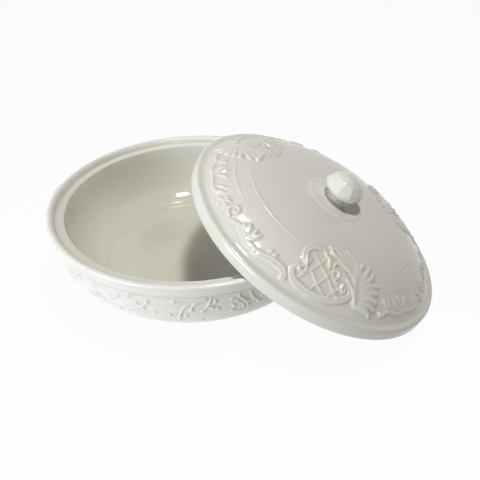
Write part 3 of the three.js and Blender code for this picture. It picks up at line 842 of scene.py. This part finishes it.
@dataclass(frozen=True)
class CreamGlaze:
    """A clear lead-free glaze fired over a pale cream body.

    The glaze is glassy, with an IOR of 1.5 and almost no roughness, so it shows sharp highlights
    over the body's soft colour. It runs off the raised ornament and pools in the hollows, where it
    is thicker and reads a little darker and yellower; the same darkening is also painted shade in
    recesses, creases and the well. A few specks of iron show in it.

    Attributes:
        name: the material's name.
        body: sRGB colour of the body under thin glaze.
        pooled_and_shaded: sRGB colour under the thickest glaze, which also paints shade in recesses.
        roughness: roughness of the fired surface.
        ior: index of refraction.
        mottle_mm: size of the mottling.
        mottle_limits: noise values where mottling starts and is full.
        mottle_share: share of the pooled_and_shaded colour that full mottling adds.
        ripple_mm: size of the ripples in the fired surface.
        ripple_depth_mm: height of the ripples.
        speck: sRGB colour of a speck.
        speck_spacing_mm: about how far apart the specks are.
        speck_radius_mm: a speck's radius.
        speck_share: how far a speck covers the coat.
        speck_core: share of its radius that it covers evenly.
    """

    name: str
    body: str = "ecebe2"
    pooled_and_shaded: str = "c9c3ad"
    roughness: float = 0.07
    ior: float = 1.5
    mottle_mm: float = 70.0
    mottle_limits: Pair = (0.35, 0.65)
    mottle_share: float = 0.12
    ripple_mm: float = 16.0
    ripple_depth_mm: float = 0.05
    speck: str = "6f6350"
    speck_spacing_mm: float = 24.0
    speck_radius_mm: float = 0.7
    speck_share: float = 0.8
    speck_core: float = 0.6

    def coat(self, tree: bpy.types.NodeTree, place: bpy.types.NodeSocket) -> bpy.types.NodeSocket:
        """The body's colour, darker under thick glaze and painted shade, and mottled a little all over."""
        mottle = noise(tree, place, self.mottle_mm, 2.0)
        shade = mapped(tree, mottle, self.mottle_limits, (0.0, self.mottle_share))
        # The hollow attribute carries thicker glaze and painted shade in recesses, creases and the well.
        hollow = add_node(tree, "ShaderNodeAttribute", {"attribute_name": "hollow"})
        depth = add_node(
            tree, "ShaderNodeMath", {"operation": "ADD", "use_clamp": True},
            {0: shade, 1: hollow.outputs["Fac"]},
        )
        return add_node(
            tree, "ShaderNodeMix", {"data_type": "RGBA"},
            {"Factor": depth.outputs["Value"], "A": linear(self.body), "B": linear(self.pooled_and_shaded)},
        ).outputs["Result"]

    def specks(self, tree: bpy.types.NodeTree, place: bpy.types.NodeSocket) -> bpy.types.NodeSocket:
        """How far the iron specks cover the coat: one dot a cell, soft at its rim."""
        scale = 1 / (self.speck_spacing_mm * MM)
        cells = add_node(tree, "ShaderNodeTexVoronoi", inputs={"Vector": place, "Scale": scale})
        reach = self.speck_radius_mm / self.speck_spacing_mm
        limits = (reach * self.speck_core, reach)
        return mapped(tree, cells.outputs["Distance"], limits, (self.speck_share, 0.0))

    def material(self) -> bpy.types.Material:
        """Builds the glaze's node tree on Object coordinates."""
        glaze = empty_material(self.name)
        tree = glaze.node_tree
        place = add_node(tree, "ShaderNodeTexCoord").outputs["Object"]
        coat = self.coat(tree, place)
        speckled = add_node(
            tree, "ShaderNodeMix", {"data_type": "RGBA"},
            {"Factor": self.specks(tree, place), "A": coat, "B": linear(self.speck)},
        )
        ripple = noise(tree, place, self.ripple_mm, 1.0)
        bump = add_node(
            tree, "ShaderNodeBump",
            inputs={"Height": ripple, "Distance": self.ripple_depth_mm * MM, "Strength": 1.0},
        )
        surface = add_node(
            tree, "ShaderNodeBsdfPrincipled",
            inputs={
                "Base Color": speckled.outputs["Result"], "Roughness": self.roughness, "IOR": self.ior,
                "Normal": bump.outputs["Normal"],
            },
        )
        add_node(tree, "ShaderNodeOutputMaterial", inputs={"Surface": surface.outputs["BSDF"]})
        return glaze


@dataclass(frozen=True)
class BareClay:
    """Unglazed cream earthenware, fired: matt and finely grained, where the foot was wiped clean."""

    name: str = "bare_earthenware"
    body: str = "dcd3bf"
    roughness: float = 0.85
    grain_mm: float = 0.8
    grain_depth_mm: float = 0.06

    def material(self) -> bpy.types.Material:
        """Builds the clay's node tree on Object coordinates."""
        clay = empty_material(self.name)
        tree = clay.node_tree
        place = add_node(tree, "ShaderNodeTexCoord").outputs["Object"]
        grain = noise(tree, place, self.grain_mm, 3.0)
        depth = self.grain_depth_mm * MM
        bump = add_node(tree, "ShaderNodeBump", inputs={"Height": grain, "Distance": depth})
        surface = add_node(
            tree, "ShaderNodeBsdfPrincipled",
            inputs={
                "Base Color": linear(self.body), "Roughness": self.roughness,
                "Normal": bump.outputs["Normal"],
            },
        )
        add_node(tree, "ShaderNodeOutputMaterial", inputs={"Surface": surface.outputs["BSDF"]})
        return clay


@dataclass(frozen=True)
class Bowl:
    """The low round bowl: foot ring, belly, band, lip, ledge for the lid and the well.

    Lengths are in millimetres and angles in degrees.

    Attributes:
        belly_close: radius and height where the belly's curve would end under the foot.
        well_edge: radius, softness and height of the small step at the edge of the well's floor.
        groove_glaze_shade: share and width of the thick glaze and painted shade in the groove; the
            line's and the edge's pairs are alike, and the offsets move a ring from its place on the
            outline.
        well_glaze_shade: share of thick glaze and painted shade in the well, and the depth at which
            it is reached.
        well_reach: how far out past the mouth, and how far off the wall, a point is in the well.
        vine_start: angle where the first third of the vine starts.
        vine_heights: lowest and highest place of the rings that carry the vine.
        vine_low_fade: height at which the vine starts, and the height over which it grows.
        vine_high_fade: height at which the vine ends, and the height over which it falls.
        vine_pool_shade: depth under the vine's average at which thick glaze and painted shade are full.
    """

    rim_radius: float = 125.0
    height: float = 74.0
    lip_half_width: float = 2.5
    lip_rise: float = 2.1
    lip_roundness: float = 2.5
    lip_slope_width: float = 1.4
    lip_points: int = 49
    ledge_depth: float = 4.6
    ledge_width: float = 7.2
    ledge_fall: float = 0.5
    ledge_crown: float = 0.55
    ledge_points: int = 25
    band_height: float = 11.5
    band_taper: float = 2.6
    line_depth: float = 0.9
    line_half_width: float = 0.9
    belly_step: float = 0.9
    belly_roundness: float = 2.5
    belly_close: Point = (31.0, 3.8)
    floor_top: float = 8.0
    well_radius: float = 46.0
    well_roundness: float = 2.6
    well_edge: tuple[float, float, float] = (84.0, 0.9, 0.6)
    foot_radius: float = 72.0
    foot_width: float = 6.0
    foot_height: float = 6.5
    foot_draft: float = 1.6
    foot_recess: float = 2.0
    foot_bare: float = 0.35
    groove_glaze_shade: Pair = (0.85, 1.7)
    groove_offset: Point = (0.4, 0.3)
    line_glaze_shade: Pair = (0.7, 0.9)
    edge_glaze_shade: Pair = (0.42, 1.3)
    edge_offset: float = 1.5
    well_glaze_shade: Pair = (0.28, 12.0)
    well_reach: Pair = (0.5, 1.5)
    vine_start: float = -141.0
    vine_heights: Pair = (33.0, 61.4)
    vine_low_fade: Pair = (33.5, 3.0)
    vine_high_fade: Pair = (61.6, 1.2)
    vine_pool_shade: float = 0.45

    def groove(self) -> Point:
        """Radius and height of the groove between the lip and the ledge."""
        radius = self.rim_radius - 2 * self.lip_half_width - self.lip_slope_width
        return radius, self.height - self.ledge_depth

    def mouth(self) -> Point:
        """Radius and height where the ledge turns down into the well."""
        radius, height = self.groove()
        return radius - self.ledge_width, height - self.ledge_fall

    def well_wall(self) -> np.ndarray:
        """The well's side, from its mouth down to the flat of its floor."""
        radius, height = self.mouth()
        return rounded_wall(radius, self.well_radius, height, self.floor_top, self.well_roundness)

    def vine_span(self) -> Pair:
        """Distances along the outline between which the vine is raised."""
        outline = self.outline()
        along = lengths_along(outline)
        low, high = self.vine_heights
        outside = np.arange(len(outline)) < outline[:, 0].argmax()
        wanted = outside & (outline[:, 1] > low) & (outline[:, 1] < high)
        return float(along[wanted].min()), float(along[wanted].max())

    def outline(self) -> np.ndarray:
        """The bowl's profile, from the middle of the underside round to the middle of the well."""
        foot_inner = self.foot_radius - self.foot_width
        band_foot = (self.rim_radius - self.band_taper, self.height - self.band_height)
        belly = rounded_wall(
            band_foot[0] - self.belly_step, self.belly_close[0], band_foot[1] - self.line_half_width,
            self.belly_close[1], self.belly_roundness,
        )[::-1]
        belly = belly[(belly[:, 0] > self.foot_radius) & (belly[:, 1] > self.foot_height)]
        turn = np.linspace(0, math.pi, self.lip_points)
        lip = np.column_stack((
            self.rim_radius - self.lip_half_width * (1 - squared_off(np.cos(turn), self.lip_roundness)),
            self.height - self.lip_rise * (1 - squared_off(np.sin(turn), self.lip_roundness)),
        ))
        share = np.linspace(0, 1, self.ledge_points)
        crown = self.ledge_crown * np.sin(math.pi * share) ** 2
        groove = self.groove()
        ledge = np.column_stack((
            groove[0] - self.ledge_width * share,
            groove[1] - self.ledge_fall * share + crown,
        ))
        well = self.well_wall()
        edge, softness, step = self.well_edge
        well[:, 1] -= step * (1 - np.tanh((well[:, 0] - edge) / softness)) / 2
        return np.vstack([
            (0, self.foot_recess), (foot_inner - self.foot_draft, self.foot_recess), (foot_inner, 0),
            (self.foot_radius - self.foot_draft, 0), (self.foot_radius, self.foot_height),
            belly,
            (band_foot[0] - self.line_depth, band_foot[1]),
            (band_foot[0], band_foot[1] + self.line_half_width),
            lip,
            ledge,
            well,
            (0, self.floor_top - step),
        ])

    def thick_glaze_and_shade(self, points: np.ndarray) -> np.ndarray:
        """Where glaze lies thicker and shade is painted on the plain turning: in the well and along three
        rings.

        The well has an even share that grows from nought with depth under its mouth. The groove, the
        line under the band and the well's edge are bell curves of the distance from a ring.

        Args:
            points: the bowl's points, in millimetres.

        Returns:
            A share from nought to one at each point.
        """
        radius, height = np.hypot(points[:, 0], points[:, 1]), points[:, 2]
        mouth, wall = self.mouth(), self.well_wall()
        floor = np.interp(radius, wall[::-1, 0], wall[::-1, 1])
        across, off = self.well_reach
        inside = (radius < mouth[0] + across) & (np.abs(height - floor) < off)
        # The well is painted darker with depth: thicker glaze, and painted shade where less light reaches.
        share, depth = self.well_glaze_shade
        well = share * np.clip((mouth[1] - height) / depth, 0, 1) * inside
        groove = np.array(self.groove()) + self.groove_offset
        line = (self.rim_radius - self.band_taper - self.line_depth, self.height - self.band_height)
        groove_gap, line_gap = (np.hypot(radius - ring[0], height - ring[1]) for ring in (groove, line))
        edge_gap = radius - self.well_edge[0] + self.edge_offset
        # Rings of thicker glaze and painted shade in the groove, the line under the band and the well's
        # edge.
        rings = (
            bell(groove_gap, *self.groove_glaze_shade),
            bell(line_gap, *self.line_glaze_shade),
            bell(edge_gap, *self.edge_glaze_shade) * inside,
        )
        return np.max([well, *rings], axis=0)

    def raised_vine(self, skin: Skin) -> np.ndarray:
        """Heights of the vine on the carved rings, faded out above the foot and under the band."""
        vine = VineOrnament()
        repeat = vine.repeat()
        along = skin.third() / (2 * math.pi / 3) * repeat - repeat / 2
        along, height = np.broadcast_arrays(along, skin.rings[skin.carved, 1:])
        work = vine.work()
        third = np.max([work.over(along + shift, height) for shift in (0, -repeat, repeat)], axis=0)
        (low, low_width), (high, high_width) = self.vine_low_fade, self.vine_high_fade
        fade = np.clip((high - height) / high_width, 0, 1) * np.clip((height - low) / low_width, 0, 1)
        return laid_thrice(third * fade)

    def bare_foot(self, piece: bpy.types.Object, clay: bpy.types.Material) -> None:
        """Gives the faces that the bowl stands on the bare clay: those that lie under the foot's edge."""
        piece.data.materials.append(clay)
        middles = np.empty(len(piece.data.polygons) * 3, np.float32)
        piece.data.polygons.foreach_get("center", middles)
        low = middles.reshape(-1, 3)[:, 2] < self.foot_bare * MM
        piece.data.polygons.foreach_set("material_index", low.astype(np.int32))

    def build(self, glaze: bpy.types.Material, clay: bpy.types.Material) -> bpy.types.Object:
        """Turns the bowl and lets it stand for the CAD bowl."""
        skin = turned_rings(self.outline(), Turning(), self.vine_span())
        skin.start = self.vine_start
        skin.heights = self.raised_vine(skin)
        points, quads, tris = skin_faces(skin)
        piece = mesh_object("bowl_ware", points, quads, tris, glaze)
        # hollow: thicker glaze and painted shade beside the vine, in the well and along the rings.
        vine_pool_shades = skin_values(skin, pooled_and_shaded(skin.heights, self.vine_pool_shade))
        store(piece, "hollow", np.maximum(vine_pool_shades, self.thick_glaze_and_shade(points)))
        self.bare_foot(piece, clay)
        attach(piece, "bowl")
        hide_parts("bowl")
        log.info("bowl_ware: %d points", len(points))
        return piece


@dataclass(frozen=True)
class LugHandle:
    """A small lug luted on under the rim, with a soft wave along its front edge.

    Lengths are in millimetres. The end thickness is a share of the middle's, and around and along
    are the numbers of points round a section and of sections.
    """

    half_length: float = 20.0
    buried_radius: float = 117.0
    root_radius: float = 121.0
    front_radius: float = 133.4
    thickness: float = 7.5
    end_thickness: float = 0.45
    top: float = 68.2
    wave: float = 0.6
    plan_roundness: float = 2.6
    plan_power: float = 0.55
    section_roundness: float = 2.8
    around: int = 48
    along: int = 61

    def surface(self, turn: float) -> tuple[np.ndarray, np.ndarray, np.ndarray]:
        """Points and faces of the lug, as a closed tube of sections along its length.

        At a share s of the half length, the front lies at root + (front - root) * fall, where fall is
        (1 - |s| ** plan roundness) ** plan power, less a shallow wave in the middle. The section is a
        superellipse between the buried radius and the front, thinner towards the ends.

        Args:
            turn: angle of the lug's middle about the bowl's axis, in radians.

        Returns:
            Points, four-sided faces and three-sided faces.
        """
        share = np.sin(np.linspace(-math.pi / 2, math.pi / 2, self.along))[1:-1, None]
        turns = np.linspace(0, 2 * math.pi, self.around, endpoint=False)[None, :]
        fall = (1 - np.abs(share) ** self.plan_roundness) ** self.plan_power
        front = self.root_radius + (self.front_radius - self.root_radius) * fall
        front = front - self.wave * (0.5 + 0.5 * np.cos(math.pi * np.clip(share * 2, -1, 1)))
        half_reach = (front - self.buried_radius) / 2
        half_thick = self.thickness / 2 * (self.end_thickness + (1 - self.end_thickness) * fall)
        middle_z = self.top - self.thickness / 2
        x = self.buried_radius + half_reach * (1 + squared_off(np.cos(turns), self.section_roundness))
        z = middle_z + half_thick * squared_off(np.sin(turns), self.section_roundness)
        sections = np.broadcast_arrays(x, share * self.half_length, z)
        grid = np.stack(sections, axis=2).reshape(-1, 3)
        middle_x = (self.buried_radius + self.root_radius) / 2
        ends = np.array([(middle_x, side * self.half_length, middle_z) for side in (-1, 1)])
        points = np.vstack((ends[:1], grid, ends[1:]))
        numbers = 1 + np.arange(len(grid)).reshape(len(share), self.around)
        low, high = numbers[:-1], numbers[1:]
        quads = np.stack((low, high, np.roll(high, -1, 1), np.roll(low, -1, 1)), axis=2).reshape(-1, 4)
        first, last = numbers[0], numbers[-1]
        tris = np.vstack([
            np.stack((np.zeros_like(first), first, np.roll(first, -1)), axis=1),
            np.stack((np.full_like(last, len(points) - 1), np.roll(last, -1), last), axis=1),
        ])
        cos, sin = math.cos(turn), math.sin(turn)
        spin = np.array([[cos, sin, 0], [-sin, cos, 0], [0, 0, 1]])
        return points @ spin, quads, tris

    def build(self, side: str, turn: float, glaze: bpy.types.Material) -> bpy.types.Object:
        """Makes one lug and lets it stand for its CAD node."""
        points, quads, tris = self.surface(turn)
        piece = mesh_object(f"lug_{side}", points, quads, tris, glaze)
        store(piece, "hollow", np.zeros(len(points)))
        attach(piece, "bowl")
        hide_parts(f"handle_{side}")
        log.info("lug_%s: %d points", side, len(points))
        return piece


@dataclass(frozen=True)
class Lean:
    """How the lid leans: tilted towards +X, with the middle of its rim at a place.

    There one side of the lid's edge stands on the table and its seat rests on the bowl's rim.
    """

    tilt: float = 27.2
    middle: tuple[float, float, float] = (106.982, 0.0, 52.886)

    def place(self, points: np.ndarray) -> np.ndarray:
        """Moves points from the lid's own frame to where it leans."""
        turn = np.array(Matrix.Rotation(math.radians(self.tilt), 3, "Y"))
        return points @ turn.T + np.array(self.middle)


@dataclass(frozen=True)
class Lid:
    """The shallow domed lid: hollow, sloped seat, edge moulding, soft cove and low disc at the knob.

    Lengths are in millimetres and angles in degrees.

    Attributes:
        seat_slope: width and height of the slope inside the seat.
        moulding: width and height of the edge moulding.
        cove: width of the cove, and depth of its turning point.
        cove_start: how far out on the moulding the cove starts.
        cove_turn: how far inside the moulding the cove turns.
        cove_reach: how far up the dome the cove runs.
        disc: radius, softness and height of the low disc that the knob stands on.
        ornament_fade: radius at which the ornament ends, and the width over which it falls.
        ornament_pool_shade: depth under the ornament's average at which thick glaze and painted shade are
            full.
    """

    radius: float = 116.5
    seat_width: float = 1.5
    seat_slope: Pair = (5.5, 3.4)
    edge_radius: float = 1.2
    moulding: Pair = (5.6, 9.4)
    moulding_taper: float = 0.8
    shoulder_radius: float = 2.6
    cove: Pair = (2.4, 0.35)
    cove_start: float = 0.6
    cove_turn: float = 1.0
    cove_reach: float = 1.0
    cove_points: int = 20
    dome_rise: float = 22.1
    dome_roundness: float = 3.9
    dome_foot_height: float = 10.4
    dome_points: int = 400
    wall: float = 6.0
    inner_roundness: float = 4.5
    inner_points: int = 200
    disc: tuple[float, float, float] = (25.5, 0.8, 0.9)
    cartouche_angle: float = -91.0
    ornament_inner: float = 59.0
    ornament_gap: float = 0.6
    ornament_fade: Pair = (107.4, 1.2)
    ornament_pool_shade: float = 0.5

    def ornament_span(self) -> Pair:
        """Distances along the outline between which ornament is raised."""
        outline = self.outline()
        along = lengths_along(outline)
        outer = self.dome_radius() - self.ornament_gap
        wanted = np.arange(len(outline)) >= len(outline) - self.dome_points
        wanted &= (outline[:, 0] > self.ornament_inner) & (outline[:, 0] < outer)
        return float(along[wanted].min()), float(along[wanted].max())

    def dome_radius(self) -> float:
        """Radius of the dome's foot, inside the cove."""
        return self.radius - self.moulding[0] - self.cove[0]

    def dome_height(self, radius: np.ndarray) -> np.ndarray:
        """Height of the outer dome: foot height plus rise times (1 - share ** roundness)."""
        share = np.minimum(radius / self.dome_radius(), 1)
        return self.dome_foot_height + self.dome_rise * (1 - share**self.dome_roundness)

    def cove_line(self) -> np.ndarray:
        """The soft hollow from the moulding's top to the dome.

        A point is (1 - t)^2 * start + 2 * t * (1 - t) * turn + t^2 * end, with t from 0 to 1.
        """
        outer = self.radius - self.moulding[0]
        foot = self.dome_radius() - self.cove_reach
        t = np.linspace(0, 1, self.cove_points)[:, None]
        start = np.array((outer + self.cove_start, self.moulding[1]))
        turn = np.array((outer - self.cove_turn, self.moulding[1] - self.cove[1]))
        end = np.array((foot, self.dome_height(foot)))
        return (1 - t) ** 2 * start + 2 * t * (1 - t) * turn + t**2 * end

    def outline(self) -> np.ndarray:
        """The lid's profile, from the middle of its underside round to the middle of its dome."""
        seat_inner = self.radius - self.seat_width - self.seat_slope[0]
        inner = seat_inner * np.sin(np.linspace(0, math.pi / 2, self.inner_points))
        rise = self.dome_foot_height + self.dome_rise - self.wall - self.seat_slope[1]
        under = self.seat_slope[1] + rise * (1 - (inner / seat_inner) ** self.inner_roundness)
        outer = np.linspace(self.dome_radius() - self.cove_reach, 0, self.dome_points)
        disc_radius, softness, disc_height = self.disc
        low_disc = disc_height * (1 - np.tanh((outer - disc_radius) / softness)) / 2
        shoulder_height = self.moulding[1] - self.shoulder_radius
        shoulder = (self.radius - self.moulding_taper - self.shoulder_radius, shoulder_height)
        return np.vstack([
            np.column_stack((inner, under)),
            (self.radius - self.seat_width, 0),
            arc((self.radius - self.edge_radius, self.edge_radius), self.edge_radius, -90, 0),
            arc(shoulder, self.shoulder_radius, 0, 90),
            self.cove_line()[:-1],
            np.column_stack((outer, self.dome_height(outer) + low_disc)),
        ])

    def raised_ornament(self, skin: Skin) -> np.ndarray:
        """Heights of the ornament on the carved rings, faded out just inside the cove."""
        radius = skin.rings[skin.carved, :1]
        work = LidOrnament().work()
        turns = (skin.third(), skin.third() - 2 * math.pi / 3)
        third = np.max([work.over(radius * np.sin(turn), radius * np.cos(turn)) for turn in turns], axis=0)
        edge, width = self.ornament_fade
        return laid_thrice(third * np.clip((edge - radius) / width, 0, 1))

    def build(self, lean: Lean, glaze: bpy.types.Material) -> bpy.types.Object:
        """Turns the lid, leans it and lets it stand for the CAD lid."""
        turning = Turning(softening=0.35, columns=320, relief_columns=960)
        skin = turned_rings(self.outline(), turning, self.ornament_span())
        skin.start = self.cartouche_angle
        skin.heights = self.raised_ornament(skin)
        points, quads, tris = skin_faces(skin)
        piece = mesh_object("lid_ware", lean.place(points), quads, tris, glaze)
        # hollow: thicker glaze and painted shade in the ornament's recesses.
        store(piece, "hollow", skin_values(skin, pooled_and_shaded(skin.heights, self.ornament_pool_shade)))
        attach(piece, "lid")
        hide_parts("lid")
        log.info("lid_ware: %d points", len(points))
        return piece


@dataclass(frozen=True)
class Knob:
    """The knob: a flared foot, a short neck, and a broad head with softened flat panels.

    Profile points are (radius, height over the dome's top), in millimetres. The panels grow between
    the two heights of the panel start. The panel end is the height where they begin to fade, and how
    far over the top they would be gone.
    """

    dome_top: float = 32.5
    foot: Path = ((14.0, -1.5), (13.0, 0.0), (10.6, 0.9), (9.0, 2.6), (8.5, 4.4))
    underside: Path = ((9.6, 5.8), (13.2, 7.6), (16.0, 9.6), (17.0, 12.0))
    crown: Path = ((16.7, 13.4), (15.5, 16.2), (10.8, 21.2), (4.8, 24.0))
    top: float = 24.2
    panels: int = 10
    ridge_angle: float = -76.0
    panel_depth: float = 0.8
    panel_start: Pair = (13.2, 14.6)
    panel_end: Pair = (16.2, 2.0)
    panel_passes: int = 2
    columns: int = 192

    def outline(self) -> np.ndarray:
        """The knob's profile, from under the dome's skin up to the middle of its top."""
        start, end = (0.0, self.foot[0][1]), (0.0, self.top)
        points = np.array([start, *self.foot, *self.underside, *self.crown, end])
        return points + (0.0, self.dome_top)

    def panelled(self, skin: Skin) -> np.ndarray:
        """How far each panel lies below the round head, on the carved rings.

        With d the angle from the panel's middle, the depth is the panel depth times
        radius * (1 - cos(half panel) / cos(d)), faded in over the panel start and out towards the top.
        """
        half = math.pi / self.panels
        from_ridge = skin.angles_of(True)[None, :] - math.radians(self.ridge_angle)
        from_middle = np.mod(from_ridge, 2 * half) - half
        radius, height = skin.rings[skin.carved, :1], skin.rings[skin.carved, 1:] - self.dome_top
        (low, full), (high, kept) = self.panel_start, self.panel_end
        share = np.clip((height - low) / (full - low), 0, 1)
        share = share * np.clip((self.top + kept - height) / (self.top - high), 0, 1)
        depth = radius * (1 - math.cos(half) / np.cos(from_middle))
        return -blurred(self.panel_depth * share * depth, self.panel_passes, 1, closed=True)

    def build(self, lean: Lean, glaze: bpy.types.Material) -> bpy.types.Object:
        """Makes the knob on the leaning lid and lets it stand for the CAD knob."""
        turning = Turning(relief_step=0.5, columns=self.columns, relief_columns=self.columns)
        outline = self.outline()
        skin = turned_rings(outline, turning, (0.0, lengths_along(outline)[-1]))
        skin.heights = self.panelled(skin)
        points, quads, tris = skin_faces(skin)
        piece = mesh_object("knob_ware", lean.place(points), quads, tris, glaze)
        store(piece, "hollow", np.zeros(len(points)))
        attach(piece, "lid")
        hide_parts("knob")
        log.info("knob_ware: %d points", len(points))
        return piece


@dataclass(frozen=True)
class Lamp:
    """A soft rectangular lamp that faces the ware.

    Attributes:
        name: the lamp's name.
        place: where it hangs, in metres.
        size: width and height in metres.
        power: power in watts.
        colour: six sRGB hex digits.
    """

    name: str
    place: tuple[float, float, float]
    size: Pair
    power: float
    colour: str

    def build(self, aim: Vector) -> None:
        """Adds the lamp, turned towards a place."""
        data = bpy.data.lights.new(self.name, "AREA")
        data.shape = "RECTANGLE"
        data.size, data.size_y = self.size
        data.energy = self.power
        data.color = linear(self.colour)[:3]
        lamp = bpy.data.objects.new(self.name, data)
        lamp.location = self.place
        lamp.rotation_mode = "QUATERNION"
        lamp.rotation_quaternion = (aim - Vector(self.place)).to_track_quat("-Z", "Y")
        bpy.context.scene.collection.objects.link(lamp)


@dataclass(frozen=True)
class Studio:
    """A pale floor, soft lamps and the camera at the photograph's view.

    The camera's place is in millimetres, and its heading, pitch and roll are in degrees. The lamps
    aim at a place in metres. Lengths of the floor are in millimetres.
    """

    camera_place: tuple[float, float, float] = (111.7, -365.3, 297.8)
    heading: float = 11.0355
    pitch: float = -35.7984
    roll: float = -0.4412
    lens: float = 37.5
    sensor: float = 36.0
    clip: Pair = (0.01, 50.0)
    lamps: tuple[Lamp, ...] = (
        Lamp("key_front_left", (-1.2, -1.4, 0.5), (1.2, 0.8), 32.5, "ecf3ff"),
        Lamp("top_near", (0.127, -0.10, 0.76), (0.09, 0.09), 2.9, "fffdf9"),
        Lamp("top_back", (0.12, 0.28, 1.68), (0.3, 0.25), 1.6, "fffaf0"),
    )
    aim: tuple[float, float, float] = (0.04, 0.0, 0.04)
    surround_light: float = 0.05
    paper: str = "efeeea"
    paper_glow: float = 0.95
    floor_half: float = 4000.0
    floor_drop: float = 0.1

    def camera(self) -> None:
        """Sets the camera from its heading, pitch and roll, with nothing shifted."""
        data = bpy.data.cameras.new("camera")
        data.lens = self.lens
        data.sensor_width = self.sensor
        data.clip_start, data.clip_end = self.clip
        camera = bpy.data.objects.new("camera", data)
        turn = math.radians(self.heading)
        lift = math.radians(self.pitch)
        ahead = Vector((-math.sin(turn) * math.cos(lift), math.cos(turn) * math.cos(lift), math.sin(lift)))
        right = ahead.cross(Vector((0, 0, 1))).normalized()
        up = right.cross(ahead)
        lean = math.radians(self.roll)
        side = math.cos(lean) * right + math.sin(lean) * up
        top = -math.sin(lean) * right + math.cos(lean) * up
        turned = Matrix((side, top, -ahead)).transposed()
        camera.matrix_world = Matrix.Translation(Vector(self.camera_place) * MM) @ turned.to_4x4()
        bpy.context.scene.collection.objects.link(camera)
        bpy.context.scene.camera = camera

    def seen_share(self, tree: bpy.types.NodeTree) -> bpy.types.NodeSocket:
        """One for camera, glossy and transmission rays, and nought for the rest."""
        path = add_node(tree, "ShaderNodeLightPath")
        either = add_node(
            tree, "ShaderNodeMath", {"operation": "MAXIMUM"},
            {0: path.outputs["Is Camera Ray"], 1: path.outputs["Is Glossy Ray"]},
        )
        return add_node(
            tree, "ShaderNodeMath", {"operation": "MAXIMUM"},
            {0: either.outputs["Value"], 1: path.outputs["Is Transmission Ray"]},
        ).outputs["Value"]

    def world(self) -> None:
        """A white surround for what is seen, and a dimmer one for what it lights."""
        world = bpy.data.worlds.new("surround")
        world.use_nodes = True
        tree = world.node_tree
        tree.nodes.clear()
        strength = mapped(tree, self.seen_share(tree), (0.0, 1.0), (self.surround_light, 1.0))
        light = add_node(tree, "ShaderNodeBackground", inputs={"Color": WHITE, "Strength": strength})
        add_node(tree, "ShaderNodeOutputWorld", inputs={"Surface": light.outputs["Background"]})
        bpy.context.scene.world = world

    def floor(self) -> None:
        """A pale matt floor: white where it is seen, with the ware's shadow kept on it."""
        half = self.floor_half
        corners = np.array([(-half, -half), (half, -half), (half, half), (-half, half)])
        points = np.column_stack((corners, np.full(4, -self.floor_drop)))
        paper = empty_material("matt_white_paper")
        tree = paper.node_tree
        matt = add_node(tree, "ShaderNodeBsdfDiffuse", inputs={"Color": linear(self.paper)})
        glow = add_node(tree, "ShaderNodeEmission", inputs={"Color": WHITE, "Strength": 1.0})
        share = mapped(tree, self.seen_share(tree), (0.0, 1.0), (0.0, self.paper_glow))
        both = add_node(
            tree, "ShaderNodeMixShader",
            inputs={0: share, 1: matt.outputs["BSDF"], 2: glow.outputs["Emission"]},
        )
        add_node(tree, "ShaderNodeOutputMaterial", inputs={"Surface": both.outputs["Shader"]})
        floor = mesh_object("floor", points, np.array([[0, 1, 2, 3]]), np.zeros((0, 3), int), paper)

    def build(self) -> None:
        """Sets up the camera, the lamps, the surround and the floor."""
        self.camera()
        for lamp in self.lamps:
            lamp.build(Vector(self.aim))
        self.world()
        self.floor()
        bpy.context.scene.view_settings.view_transform = "Standard"
        log.info("studio: camera, %d lamps, surround and floor", len(self.lamps))


def main() -> None:
    """Builds the ware and its studio; the CAD parts stay in the scene, hidden."""
    Studio().build()
    bowl_glaze = CreamGlaze("cream_glaze_bowl").material()
    # The lid's glaze is a darker copy of the bowl's: painted shade on the lid.
    lid_glaze = CreamGlaze("cream_glaze_lid_shaded", body="dcdad0").material()
    Bowl().build(bowl_glaze, BareClay().material())
    LugHandle().build("right", 0.0, bowl_glaze)
    LugHandle().build("left", math.pi, bowl_glaze)
    lean = Lean()
    Lid().build(lean, lid_glaze)
    Knob().build(lean, lid_glaze)


if __name__ == "__main__":
    main()
